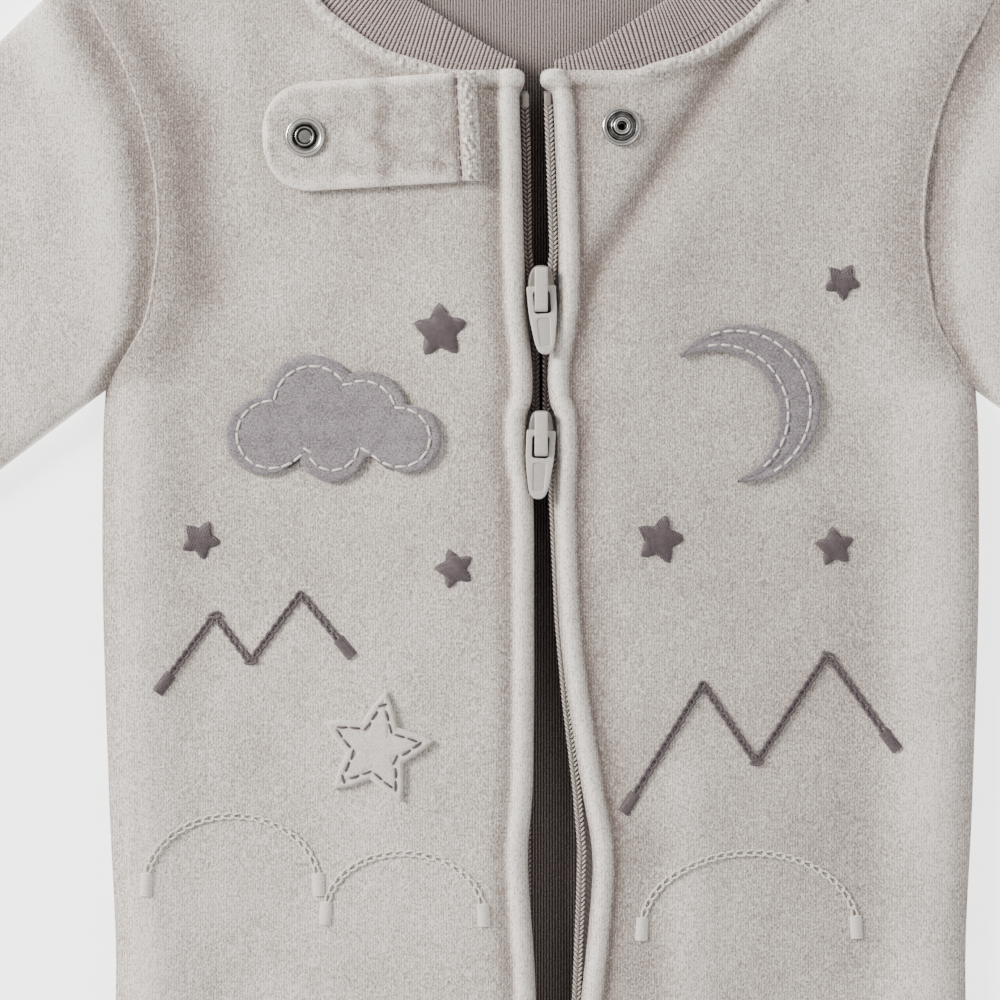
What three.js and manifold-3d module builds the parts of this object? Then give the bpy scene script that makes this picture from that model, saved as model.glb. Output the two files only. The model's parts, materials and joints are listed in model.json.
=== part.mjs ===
// A baby's two-way zip sleepsuit in velour, laid on its back on a flat surface with the neck partly unzipped.
// Millimetres. X runs to the right across the chest, Y up towards the neck and Z up from the surface.
// Left and right are those of someone who looks down on the garment.
// Heights y are measured from a line across the neck, 26 mm below the high points of the shoulders.
import * as THREE from "three";
import { mergeVertices } from "three/addons/utils/BufferGeometryUtils.js";
import Module from "manifold-3d";

const { lerp, smoothstep, degToRad } = THREE.MathUtils;
const wasm = await Module();
wasm.setup();

// Driving sizes
const WALL = 2; // velour, with its pile
const FELT = 1.3;
const SEAM_GAP = 0.7; // between sewn pieces, across the armhole
const REST_GAP = 0.6; // under what lies on a panel
const ZIP_TOP = -19.4;
const SHOULDER = { x: 131, y: 10 };
const NECK_POINT = { x: 74, y: 26 };
const BACK_NECK_CENTRE = 18;
const UNDERARM = -107.2;
const CROTCH = -374;
const HEM = -554;

// Outlines, as half widths. The armhole and then the side seam, from the shoulder down to the hem
const SIDE = [
  { y: 10, x: 131 },
  { y: -7, x: 122.5 },
  { y: -15, x: 117.8 },
  { y: -26, x: 113.3 },
  { y: -35.8, x: 110.3 },
  { y: -48.3, x: 107.8 },
  { y: -63.3, x: 106.7 },
  { y: -74.4, x: 107.8 },
  { y: -87.8, x: 110.3 },
  { y: -96.7, x: 115 },
  { y: UNDERARM, x: 121.7 },
  { y: -125, x: 122.5 },
  { y: -167, x: 122.5 },
  { y: -222, x: 120.8 },
  { y: -278, x: 118.9 },
  { y: -340, x: 124 },
  { y: HEM, x: 118 },
];

// The front neck seam, from beside the zip to the shoulder
const NECK = [
  { x: 23.9, y: -19.4 },
  { x: 33.6, y: -17.2 },
  { x: 44.7, y: -13.3 },
  { x: 55.6, y: -5.6 },
  { x: 61.7, y: 0 },
  { x: 72, y: 14 },
  NECK_POINT,
];

// The back neck seam, from the centre to the shoulder
const BACK_NECK = [
  { x: 0, y: BACK_NECK_CENTRE },
  { x: 25, y: 18.4 },
  { x: 50, y: 20.5 },
  { x: 66, y: 23.5 },
  NECK_POINT,
];

const INSEAM = [
  { y: CROTCH, x: 0.3 },
  { y: -392, x: 8 },
  { y: -430, x: 18 },
  { y: HEM, x: 40 },
];

// Both sides of the zip: the folded front edges, and the inner edge of each coil
const ZIP = [
  { y: ZIP_TOP, leftEdge: -6.6, leftCoil: -3.3, rightCoil: 0.5, rightEdge: 2.8 },
  { y: -41.7, leftEdge: -5.5, leftCoil: -2.6, rightCoil: 1.2, rightEdge: 4 },
  { y: -69.4, leftEdge: -4.7, leftCoil: -2.3, rightCoil: 2.2, rightEdge: 4.9 },
  { y: -79, leftEdge: -4.3, leftCoil: -1.2, rightCoil: 1.2, rightEdge: 4.7 },
  { y: -86.1, leftEdge: -4.1, leftCoil: -0.2, rightCoil: 0.2, rightEdge: 4.6 },
  { y: -101, leftEdge: -2.7, leftCoil: -0.2, rightCoil: 0.2, rightEdge: 2.7 },
  { y: -111, leftEdge: -2.7, leftCoil: -0.2, rightCoil: 0.2, rightEdge: 2.7 },
  { y: -114, leftEdge: -4, leftCoil: -0.2, rightCoil: 0.2, rightEdge: 4 },
  { y: -120, leftEdge: -4, leftCoil: -0.9, rightCoil: 0.9, rightEdge: 4.1 },
  { y: -128, leftEdge: -4, leftCoil: -1.7, rightCoil: 1.8, rightEdge: 4.2 },
  { y: -138.9, leftEdge: -3.4, leftCoil: -1.1, rightCoil: 2.1, rightEdge: 4.2 },
  { y: -172.2, leftEdge: -3.4, leftCoil: -1, rightCoil: 4.1, rightEdge: 6.2 },
  { y: -194.4, leftEdge: -3.4, leftCoil: -1, rightCoil: 6.1, rightEdge: 8.3 },
  { y: -219.4, leftEdge: -3.6, leftCoil: -1, rightCoil: 8.8, rightEdge: 11.4 },
  { y: -236.1, leftEdge: -3.9, leftCoil: -1, rightCoil: 10.1, rightEdge: 14.2 },
  { y: -250, leftEdge: -3.6, leftCoil: -1, rightCoil: 9.4, rightEdge: 13.9 },
  { y: -277.8, leftEdge: -3.3, leftCoil: -0.9, rightCoil: 8.5, rightEdge: 11.1 },
  { y: -320, leftEdge: -2.7, leftCoil: -0.5, rightCoil: 3.6, rightEdge: 6 },
  { y: -346, leftEdge: -2.6, leftCoil: -0.2, rightCoil: 0.2, rightEdge: 2.6 },
  { y: -356, leftEdge: -0.3, leftCoil: -0.2, rightCoil: 0.2, rightEdge: 0.3 },
  { y: CROTCH, leftEdge: -0.3, leftCoil: -0.2, rightCoil: 0.2, rightEdge: 0.3 },
];

// Heights above the surface
const LAY = 6.6; // upper face of the front where it lies on the back
const TENT = 4.3; // how much higher it stands beside the zip
const TENT_REACH = 80;
const TENT_START = 10;
const ZIP_FADE = { from: -290, to: -352 };
const SEAM_RIM = 0.6; // how much the back's edge turns up to the front's

// Across a folded front edge: share of its width, rise of its upper face, extra thickness of the fold
const PLACKET_ROLL = [
  { share: 0, rise: -0.7, extra: -0.5 },
  { share: 0.25, rise: 1, extra: 0.9 },
  { share: 0.5, rise: 1.6, extra: 1.4 },
  { share: 0.75, rise: 1.1, extra: 1 },
  { share: 1, rise: -0.2, extra: 0 },
  { share: 1.4, rise: 0, extra: 0 },
];

// Inwards from a side seam, a shoulder seam or an inseam
const SEAM_ROLL = [
  { inwards: 0, rise: -1.6 },
  { inwards: 2.5, rise: -0.2 },
  { inwards: 6, rise: 1.1 },
  { inwards: 11, rise: 1.8 },
  { inwards: 18, rise: 1.6 },
  { inwards: 28, rise: 0.3 },
  { inwards: 36, rise: 0 },
];
const ARMHOLE_RISE = 2.8; // the front climbs to the sleeve's head in the middle of the armhole
const ARMHOLE_REACH = 26;

// Down from the neck seam
const NECK_RIDGE = [
  { down: 0, rise: 0.2 },
  { down: 2, rise: 0.9 },
  { down: 4.6, rise: -0.1 },
  { down: 8.5, rise: 0 },
];

// The largest folds of the fronts, each a soft trough or ridge along a line. They fade out at the seams
const FOLD_MARGIN = 10;
const FOLDS = [
  { fromX: -94, fromY: -90, toX: -94, toY: -225, width: 9, rise: -1.1 },
  { fromX: -95, fromY: -240, toX: -93, toY: -330, width: 7, rise: -1.1 },
  { fromX: -104, fromY: -238, toX: -104, toY: -325, width: 6, rise: 0.7 },
  { fromX: -116, fromY: 2, toX: -96, toY: -31, width: 7, rise: -1.2 },
  { fromX: -96, fromY: -31, toX: -91, toY: -80, width: 8, rise: -0.8 },
  { fromX: 50, fromY: -19, toX: 35, toY: -43, width: 6, rise: -1.3 },
  { fromX: 33, fromY: -47, toX: 24, toY: -66, width: 6, rise: -1.1 },
  { fromX: 22, fromY: -69, toX: 13, toY: -79, width: 5, rise: -0.8 },
  { fromX: 41, fromY: -220, toX: 42, toY: -310, width: 9, rise: 1 },
  { fromX: 30, fromY: -236, toX: 31, toY: -300, width: 7, rise: -0.9 },
  { fromX: -60, fromY: -392, toX: -98, toY: -408, width: 8, rise: -1 },
  { fromX: 58, fromY: -398, toX: 96, toY: -410, width: 8, rise: -1 },
  { fromX: -50, fromY: -470, toX: -90, toY: -480, width: 8, rise: -0.9 },
  { fromX: 52, fromY: -476, toX: 88, toY: -484, width: 8, rise: -0.9 },
];

const LEFT = { sign: -1, placket: 8, edge: "leftEdge", coil: "leftCoil" };
const RIGHT = { sign: 1, placket: 6.5, edge: "rightEdge", coil: "rightCoil" };

// The value of one column of a table at a place along another, straight between its rows
function along(table, key, value, column) {
  const last = table.length - 1;
  const rising = Math.sign(table[last][key] - table[0][key]);
  const next = table.findIndex((row) => rising * (row[key] - value) > 0);
  if (next === 0) return table[0][column];
  if (next < 0) return table[last][column];
  const before = table[next - 1];
  const share = (value - before[key]) / (table[next][key] - before[key]);
  return lerp(before[column], table[next][column], share);
}

function mirrored(line, sign) {
  return line.map(({ x, y }) => new THREE.Vector2(sign * x, y));
}

// The distance from a point to a line of straight stretches
function distanceTo(line, x, y) {
  const point = new THREE.Vector2(x, y);
  let nearest = Infinity;
  for (let i = 1; i < line.length; i++) {
    const stretch = line[i].clone().sub(line[i - 1]);
    const offset = point.clone().sub(line[i - 1]);
    const share = THREE.MathUtils.clamp(offset.dot(stretch) / stretch.lengthSq(), 0, 1);
    nearest = Math.min(nearest, offset.sub(stretch.multiplyScalar(share)).length());
  }
  return nearest;
}

function lengthOf(line) {
  let sum = 0;
  for (let i = 1; i < line.length; i++) sum += line[i].distanceTo(line[i - 1]);
  return sum;
}

// The point at a share of a line's length
function pointAlong(line, share) {
  let left = share * lengthOf(line);
  for (let i = 1; i < line.length; i++) {
    const stretch = line[i].distanceTo(line[i - 1]);
    if (left <= stretch) return line[i - 1].clone().lerp(line[i], left / stretch);
    left -= stretch;
  }
  return line[line.length - 1].clone();
}

for (const side of [LEFT, RIGHT]) {
  const neckStart = { x: Math.abs(ZIP[0][side.edge]), y: ZIP_TOP };
  side.zipLine = ZIP.map((row) => new THREE.Vector2(row[side.edge], row.y));
  side.neckLine = mirrored([neckStart, ...NECK], side.sign);
  side.shoulderLine = mirrored([NECK_POINT, SHOULDER], side.sign);
  side.sideLine = mirrored(SIDE, side.sign);
  side.inseamLine = mirrored(INSEAM, side.sign);
  side.frontTopLine = mirrored([neckStart, ...NECK, SHOULDER], side.sign);
  side.backTopLine = mirrored([...BACK_NECK, SHOULDER], side.sign);
}

// 1 beside the zip, falling to 0 past its lower end
function zipShare(y) {
  return smoothstep(y, ZIP_FADE.to, ZIP_FADE.from);
}

// 1 in the middle of the armhole and 0 at both its ends, where a sleeve's fold closes it
function armholeShare(y) {
  if (y < UNDERARM || y > SHOULDER.y) return 0;
  return Math.sin((Math.PI * (SHOULDER.y - y)) / (SHOULDER.y - UNDERARM));
}

function seamDistance(side, x, y) {
  const lines = [side.sideLine, side.shoulderLine, side.inseamLine];
  return Math.min(...lines.map((line) => distanceTo(line, x, y)));
}

function foldRise(x, y) {
  return FOLDS.reduce((sum, fold) => {
    const line = [new THREE.Vector2(fold.fromX, fold.fromY), new THREE.Vector2(fold.toX, fold.toY)];
    return sum + fold.rise * Math.exp(-((distanceTo(line, x, y) / fold.width) ** 2));
  }, 0);
}

// The upper face of a front
function frontTop(side, x, y) {
  const fromZip = distanceTo(side.zipLine, x, y);
  const tent = TENT * (1 - smoothstep(fromZip, TENT_START, TENT_REACH));
  const placket = along(PLACKET_ROLL, "share", fromZip / side.placket, "rise");
  const seam = along(SEAM_ROLL, "inwards", seamDistance(side, x, y), "rise");
  const seamShare = 1 - 0.9 * armholeShare(y);
  const armhole = ARMHOLE_RISE * armholeShare(y) * (1 - smoothstep(distanceTo(side.sideLine, x, y), 0, ARMHOLE_REACH));
  const ridge = along(NECK_RIDGE, "down", distanceTo(side.neckLine, x, y), "rise");
  const foldShare = smoothstep(seamDistance(side, x, y), 0, FOLD_MARGIN);
  const folds = foldShare * foldRise(x, y);
  return LAY + zipShare(y) * (tent + placket) + seam * seamShare + armhole + ridge + folds;
}

function frontThickness(side, x, y) {
  const share = distanceTo(side.zipLine, x, y) / side.placket;
  return WALL + zipShare(y) * along(PLACKET_ROLL, "share", share, "extra");
}

function backTop(side, x, y) {
  return WALL + SEAM_RIM * (1 - smoothstep(seamDistance(side, x, y), 0, 8));
}

// A geometry with its faces turned outwards, from points and the corners of its triangles
function closedGeometry(points, corners) {
  let volume = 0;
  for (let i = 0; i < corners.length; i += 3) {
    const [a, b, c] = [points[corners[i]], points[corners[i + 1]], points[corners[i + 2]]];
    volume += a.dot(b.clone().cross(c));
  }
  const outward = volume < 0 ? [...corners].reverse() : corners;
  const geometry = new THREE.BufferGeometry().setFromPoints(points);
  geometry.setIndex(outward);
  geometry.computeVertexNormals();
  return geometry;
}

// A closed wall between two grids of points. Rows run along the piece, and the columns of a ring join up
function wall(outer, inner, isRing = false) {
  const rows = outer.length;
  const columns = outer[0].length;
  const strips = isRing ? columns : columns - 1;
  const corners = [];
  const out = (r, c) => r * columns + (c % columns);
  const within = (r, c) => rows * columns + out(r, c);
  const quad = (a, b, c, d) => corners.push(a, b, c, a, c, d);
  for (let r = 0; r < rows - 1; r++) {
    for (let c = 0; c < strips; c++) {
      quad(out(r, c), out(r, c + 1), out(r + 1, c + 1), out(r + 1, c));
      quad(within(r, c), within(r + 1, c), within(r + 1, c + 1), within(r, c + 1));
    }
    if (isRing) continue;
    quad(out(r, 0), out(r + 1, 0), within(r + 1, 0), within(r, 0));
    quad(out(r + 1, strips), out(r, strips), within(r, strips), within(r + 1, strips));
  }
  const end = rows - 1;
  for (let c = 0; c < strips; c++) {
    quad(out(0, c), within(0, c), within(0, c + 1), out(0, c + 1));
    quad(out(end, c), out(end, c + 1), within(end, c + 1), within(end, c));
  }
  return closedGeometry([...outer.flat(), ...inner.flat()], corners);
}

// A solid bar through closed sections of the same number of points, with flat ends
function bar(sections) {
  const size = sections[0].length;
  const corners = [];
  for (let s = 0; s < sections.length - 1; s++) {
    for (let k = 0; k < size; k++) {
      const [a, b] = [s * size + k, s * size + ((k + 1) % size)];
      corners.push(a, b, b + size, a, b + size, a + size);
    }
  }
  const last = (sections.length - 1) * size;
  for (let k = 1; k < size - 1; k++) {
    corners.push(0, k + 1, k, last, last + k, last + k + 1);
  }
  return closedGeometry(sections.flat(), corners);
}

function toSolid(geometry) {
  const bare = geometry.clone();
  bare.deleteAttribute("normal");
  bare.deleteAttribute("uv");
  const merged = mergeVertices(bare, 1e-4);
  const index = merged.index.array;
  const vertices = merged.attributes.position.array;
  const mesh = new wasm.Mesh({ numProp: 3, vertProperties: vertices, triVerts: new Uint32Array(index) });
  return new wasm.Manifold(mesh);
}

// One geometry from several that overlap
function joined(...geometries) {
  const mesh = geometries.map(toSolid).reduce((a, b) => a.add(b)).getMesh();
  const geometry = new THREE.BufferGeometry();
  geometry.setAttribute("position", new THREE.BufferAttribute(mesh.vertProperties, 3));
  geometry.setIndex(new THREE.BufferAttribute(mesh.triVerts, 1));
  geometry.computeVertexNormals();
  return geometry;
}

// Columns of a front or back half, as shares of the way from the centre to the side seam. Steps are distances
// from the centre and from the seam, and the columns between them are set by shares of what is left
function columnShares(length, centreSteps, between, seamSteps) {
  const first = centreSteps[centreSteps.length - 1] / length;
  const last = 1 - seamSteps[0] / length;
  return [
    ...centreSteps.map((step) => step / length),
    ...between.map((share) => lerp(first, last, share)),
    ...seamSteps.map((step) => 1 - step / length),
  ];
}

// The plan of a row across a half panel. It starts as the curve of the top line and straightens lower down
function rowPlan({ inner, outer, topLine, topShare, centreSteps, between, seamSteps }) {
  const length = lerp(Math.abs(outer.x - inner.x), lengthOf(topLine), topShare);
  const [start, end] = [topLine[0], topLine[topLine.length - 1]];
  return columnShares(length, centreSteps, between, seamSteps).map((share) => {
    const bow = pointAlong(topLine, share).sub(start.clone().lerp(end, share));
    return inner.clone().lerp(outer, share).addScaledVector(bow, topShare);
  });
}

// Rows of the body, by their height at the armhole and side seam
const ARMHOLE_ROWS = [10, 7, 3, -7, -15, -26, -35.8, -48.3, -63.3, -74.4, -87.8, -96.7, UNDERARM];
const FRONT_ROWS = [
  ...ARMHOLE_ROWS, -111, -114, -120, -128, -134, -145, -158, -172, -187, -202, -219, -236, -250, -264, -284,
  -305, -327, -346, -356, CROTCH, -384, -398, -420, -450, -485, -520, -546, HEM,
];
const BACK_ROWS = [...ARMHOLE_ROWS, -135, -167, -200, -240, -278, -310, -340, CROTCH, -392, -430, -490, HEM];
const STRAIGHT_BELOW = -95;

function centreHeight(sideHeight, centreTop) {
  if (sideHeight < UNDERARM) return sideHeight;
  return lerp(UNDERARM, centreTop, (sideHeight - UNDERARM) / (SHOULDER.y - UNDERARM));
}

function halfPlan(side, rows, centreTop, topLine, centreX, steps) {
  return rows.map((sideHeight) => {
    const height = centreHeight(sideHeight, centreTop);
    const inner = new THREE.Vector2(centreX(height), height);
    const outer = new THREE.Vector2(side.sign * along(SIDE, "y", sideHeight, "x"), sideHeight);
    const topShare = smoothstep(height, STRAIGHT_BELOW, centreTop);
    return rowPlan({ inner, outer, topLine, topShare, ...steps });
  });
}

function raised(plan, heightAt) {
  return plan.map((row) => row.map(({ x, y }) => new THREE.Vector3(x, y, heightAt(x, y))));
}

function frontPanel(side) {
  const edgeX = (y) => {
    return y > CROTCH ? along(ZIP, "y", y, side.edge) : side.sign * along(INSEAM, "y", y, "x");
  };
  const steps = {
    centreSteps: [0, 0.25, 0.5, 0.75, 1, 1.4, 2.2].map((share) => share * side.placket),
    between: [0.15, 0.3, 0.44, 0.57, 0.7, 0.86],
    seamSteps: [28, 18, 10, 6, 2.5, 0],
  };
  const plan = halfPlan(side, FRONT_ROWS, ZIP_TOP, side.frontTopLine, edgeX, steps);
  const top = raised(plan, (x, y) => frontTop(side, x, y));
  const under = raised(plan, (x, y) => frontTop(side, x, y) - frontThickness(side, x, y));
  return wall(top, under);
}

function backPanel() {
  const lap = 0.6; // each half passes the centre line a little, and the two are joined
  const steps = { centreSteps: [0, 14], between: [0.2, 0.4, 0.6], seamSteps: [28, 10, 3, 0] };
  const halves = [LEFT, RIGHT].map((side) => {
    const centreX = (y) => {
      return y > CROTCH ? -side.sign * lap : side.sign * along(INSEAM, "y", y, "x");
    };
    const plan = halfPlan(side, BACK_ROWS, BACK_NECK_CENTRE, side.backTopLine, centreX, steps);
    return wall(
      raised(plan, (x, y) => backTop(side, x, y)),
      raised(plan, () => 0),
    );
  });
  return joined(...halves);
}

// Sleeves, each one flattened tube from the armhole to its open end
const CUFF_UPPER = { x: 302, y: -158 };
const CUFF_LOWER = { x: 252.5, y: -207.5 };
const SLEEVE_HEIGHTS = [
  { share: 0, height: 9.2 },
  { share: 0.06, height: 10.6 },
  { share: 0.2, height: 9.4 },
  { share: 0.45, height: 7.4 },
  { share: 1, height: 6.6 },
];
const SLEEVE_ROWS = [0, 0.04, 0.12, 0.22, 0.35, 0.5, 0.65, 0.82, 1];
const SLEEVE_SIDES = 24;
const SLEEVE_MIDDLE = 3.3; // height of both its folds
const SLEEVE_FULLNESS = 0.45; // 1 is a round section, and less is a flatter one
const SLEEVE_UNDER_REACH = 1.2; // how far beyond the surface the under face would reach, so that it lies flat
const SLEEVE_FOLDS = [
  { fromX: 150, fromY: -70, toX: 190, toY: -95, width: 9, rise: -0.9 },
  { fromX: 158, fromY: -45, toX: 200, toY: -120, width: 10, rise: 0.5 },
];

function sleevePlan(side, across, share) {
  const y = lerp(SHOULDER.y, UNDERARM, across);
  const armhole = { x: along(SIDE, "y", y, "x") + SEAM_GAP, y };
  const chordX = lerp(SHOULDER.x, along(SIDE, "y", UNDERARM, "x"), across) + SEAM_GAP;
  const upperX = lerp(SHOULDER.x + SEAM_GAP, CUFF_UPPER.x, share);
  const lowerX = lerp(along(SIDE, "y", UNDERARM, "x") + SEAM_GAP, CUFF_LOWER.x, share);
  const upperY = lerp(SHOULDER.y, CUFF_UPPER.y, share);
  const lowerY = lerp(UNDERARM, CUFF_LOWER.y, share);
  const x = lerp(upperX, lowerX, across) + (1 - share) ** 2 * (armhole.x - chordX);
  return { x: side.sign * x, y: lerp(upperY, lowerY, across) };
}

function sleeve(side) {
  const ring = (share, inset) => {
    const head = along(SLEEVE_HEIGHTS, "share", share, "height") - SLEEVE_MIDDLE;
    const width = lerp(SHOULDER.y - UNDERARM, 70, share);
    return Array.from({ length: SLEEVE_SIDES }, (_, k) => {
      const turn = (2 * Math.PI * k) / SLEEVE_SIDES;
      const across = 0.5 - (0.5 - inset / width) * Math.cos(turn);
      const { x, y } = sleevePlan(side, across, share);
      const lift = Math.abs(Math.sin(turn)) ** SLEEVE_FULLNESS;
      const fold = SLEEVE_FOLDS.reduce((sum, f) => {
        const line = [new THREE.Vector2(f.fromX, f.fromY), new THREE.Vector2(f.toX, f.toY)];
        return sum + f.rise * Math.exp(-((distanceTo(line, Math.abs(x), y) / f.width) ** 2));
      }, 0);
      const under = Math.max(inset, SLEEVE_MIDDLE * (1 - SLEEVE_UNDER_REACH * lift));
      const over = SLEEVE_MIDDLE + (head - inset) * lift + fold * lift;
      return new THREE.Vector3(x, y, Math.sin(turn) < 0 ? under : over);
    });
  };
  return wall(
    SLEEVE_ROWS.map((share) => ring(share, 0)),
    SLEEVE_ROWS.map((share) => ring(share, WALL)),
    true,
  );
}

// The collar: one doubled rib band, which lies flat at the front, turns over at each shoulder and lies flat
// behind. Each section has its seam edge, its free edge, the height of its middle and how far it has turned
const COLLAR_THICKNESS = 2.6;
const COLLAR_ROUNDING = 1.2;
const COLLAR_SECTIONS = [
  { seamX: 15.3, seamY: -18.6, freeX: 13.6, freeY: -13.2, z: 9.3, turn: 0 },
  { seamX: 24.5, seamY: -18.1, freeX: 21, freeY: -8.5, z: 8.7, turn: 0 },
  { seamX: 33.7, seamY: -15.5, freeX: 30, freeY: -2.5, z: 8, turn: 0 },
  { seamX: 44.2, seamY: -11.4, freeX: 37, freeY: 2, z: 7.2, turn: 0 },
  { seamX: 54.1, seamY: -4.1, freeX: 44, freeY: 8, z: 6.5, turn: 0 },
  { seamX: 61.2, seamY: 2.7, freeX: 50, freeY: 14, z: 5.9, turn: 0 },
  { seamX: 70, seamY: 14.2, freeX: 57, freeY: 24, z: 5.5, turn: 0 },
  { seamX: 72.2, seamY: 23.5, freeX: 62.4, freeY: 35.4, z: 5.2, turn: 0 },
  { seamX: 73.8, seamY: 27.4, freeX: 64.6, freeY: 39, z: 4.6, turn: 45 },
  { seamX: 74.2, seamY: 28, freeX: 65.2, freeY: 39.8, z: 3.25, turn: 90 },
  { seamX: 73.8, seamY: 27.6, freeX: 64.7, freeY: 39.4, z: 1.85, turn: 135 },
  { seamX: 71.4, seamY: 26.5, freeX: 62.8, freeY: 38.4, z: 1.3, turn: 180 },
  { seamX: 65.4, seamY: 24.5, freeX: 58, freeY: 37.8, z: 1.3, turn: 180 },
  { seamX: 49.7, seamY: 21.5, freeX: 45, freeY: 36.4, z: 1.3, turn: 180 },
  { seamX: 25, seamY: 19.2, freeX: 23, freeY: 34.9, z: 1.3, turn: 180 },
];
const COLLAR_CENTRE_BACK = { seamX: 0, seamY: 18.6, freeX: 0, freeY: 34.6, z: 1.3, turn: 180 };
const COLLAR_ENDS = [
  { seamX: -6.9, seamY: -18.8, freeX: -6.5, freeY: -17, z: 9.6, turn: 0 },
  { seamX: 3.1, seamY: -18.8, freeX: 3.3, freeY: -17, z: 9.6, turn: 0 },
];

function collarSection({ seamX, seamY, freeX, freeY, z, turn }, side) {
  const seam = new THREE.Vector3(seamX, seamY, z);
  const across = new THREE.Vector3(freeX, freeY, z).sub(seam);
  const width = across.length();
  across.normalize();
  const sideways = new THREE.Vector3(-across.y, across.x, 0).multiplyScalar(-side.sign);
  const normal = new THREE.Vector3(0, 0, Math.cos(degToRad(turn)));
  normal.addScaledVector(sideways, Math.sin(degToRad(turn)));
  const half = COLLAR_THICKNESS / 2;
  const rounding = Math.min(COLLAR_ROUNDING, 0.4 * width);
  const outline = [
    [0, -half],
    [0, half],
    [width - rounding, half],
    [width - 0.3 * rounding, 0.6 * half],
    [width, 0],
    [width - 0.3 * rounding, -0.6 * half],
    [width - rounding, -half],
  ];
  return outline.map(([reach, up]) => {
    return seam.clone().addScaledVector(across, reach).addScaledVector(normal, up);
  });
}

function collar() {
  const half = (side) => COLLAR_SECTIONS.map((row) => {
    const placed = { ...row, seamX: side.sign * row.seamX, freeX: side.sign * row.freeX };
    return collarSection(placed, side);
  });
  return bar([
    collarSection(COLLAR_ENDS[0], LEFT),
    ...half(LEFT),
    collarSection(COLLAR_CENTRE_BACK, LEFT),
    ...half(RIGHT).reverse(),
    collarSection(COLLAR_ENDS[1], RIGHT),
  ]);
}

// The zip. Its levels are measured from the upper face of the cloth beside it
const TAPE = { width: 10, bottom: -4, top: -3, coilWidth: 2.2, coilTop: -1.5, from: -25, to: -345 };
const TAPE_ROWS = [TAPE.from, -41.7, -69.4, -79, -86.1, -101, -114, -120, -128, -138.9, -172.2, -194.4,
  -219.4, -236.1, -250, -277.8, -299, -320, -334, TAPE.to];

function zipLevel(y) {
  return LAY + TENT * zipShare(y);
}

function tape(side) {
  return bar(TAPE_ROWS.map((y) => {
    const inner = along(ZIP, "y", y, side.coil);
    const level = zipLevel(y);
    const profile = [
      [0.3, TAPE.bottom],
      [0, TAPE.coilTop - 0.7],
      [TAPE.coilWidth / 2, TAPE.coilTop],
      [TAPE.coilWidth, TAPE.top],
      [TAPE.width, TAPE.top],
      [TAPE.width, TAPE.bottom],
    ];
    return profile.map(([out, up]) => new THREE.Vector3(inner + side.sign * out, y, level + up));
  }));
}

// A slider, about the middle of its bridge, and its pull, about the bar that turns under the bridge
const SLIDER = {
  halfWidth: 3.6, halfLength: 6.6, lowerPlate: [-5.3, -4.3], upperPlate: [-0.9, 0.1],
  postHalfWidth: 0.6, postFrom: 2.4, postTo: 5.2,
  bridgeWidth: 3.2, bridgeHalf: 6.2, bridgeWall: 1.6, bridgeUnder: 2.7, bridgeTop: 3.9,
};
const PULL = {
  axis: 1.4, bar: 0.8, thickness: 1.2, shoulderHalf: 4.05, tipHalf: 2.6, length: 18.3,
  holeHalf: 2.3, holeEnd: 7, shoulderEnd: 7.8, tilt: 6,
};
const PULL_RELATIVE_Y = 0.2; // the pull's bar sits this much above the middle of the bridge
const ZIPPERS = [
  { name: "top", y: -80.6, opensTowards: 1, skew: 4 },
  { name: "bottom", y: -120.6, opensTowards: -1, skew: -3 },
];

function extruded(points, from, to) {
  const shape = new THREE.Shape(points.map(([x, y]) => new THREE.Vector2(x, y)));
  const geometry = new THREE.ExtrudeGeometry(shape, { depth: to - from, bevelEnabled: false });
  return geometry.translate(0, 0, from);
}

function slider(opensTowards) {
  const { halfWidth, halfLength, bridgeHalf, bridgeWall, bridgeUnder, bridgeTop } = SLIDER;
  const cornerCut = 1.4;
  const plan = [
    [-halfWidth + cornerCut, -halfLength],
    [halfWidth - cornerCut, -halfLength],
    [halfWidth, -halfLength + cornerCut],
    [halfWidth, halfLength - cornerCut],
    [halfWidth - cornerCut, halfLength],
    [-halfWidth + cornerCut, halfLength],
    [-halfWidth, halfLength - cornerCut],
    [-halfWidth, -halfLength + cornerCut],
  ];
  const lower = extruded(plan, ...SLIDER.lowerPlate);
  const upper = extruded(plan, ...SLIDER.upperPlate);
  const postEnds = [SLIDER.postFrom * opensTowards, SLIDER.postTo * opensTowards].sort((a, b) => a - b);
  const post = extruded(
    [
      [-SLIDER.postHalfWidth, postEnds[0]],
      [SLIDER.postHalfWidth, postEnds[0]],
      [SLIDER.postHalfWidth, postEnds[1]],
      [-SLIDER.postHalfWidth, postEnds[1]],
    ],
    SLIDER.lowerPlate[0] + 0.5,
    SLIDER.upperPlate[1] - 0.5,
  );
  const foot = SLIDER.upperPlate[1] - 0.5;
  const arch = extruded(
    [
      [-bridgeHalf, foot],
      [-bridgeHalf + bridgeWall, foot],
      [-bridgeHalf + bridgeWall, bridgeUnder - 0.3],
      [-bridgeHalf + bridgeWall + 0.3, bridgeUnder],
      [bridgeHalf - bridgeWall - 0.3, bridgeUnder],
      [bridgeHalf - bridgeWall, bridgeUnder - 0.3],
      [bridgeHalf - bridgeWall, foot],
      [bridgeHalf, foot],
      [bridgeHalf, bridgeTop - 1.3],
      [bridgeHalf - 1.3, bridgeTop],
      [-bridgeHalf + 1.3, bridgeTop],
      [-bridgeHalf, bridgeTop - 1.3],
    ],
    -SLIDER.bridgeWidth / 2,
    SLIDER.bridgeWidth / 2,
  );
  arch.rotateX(Math.PI / 2).rotateZ(Math.PI / 2);
  return joined(lower, upper, post, arch);
}

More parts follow.
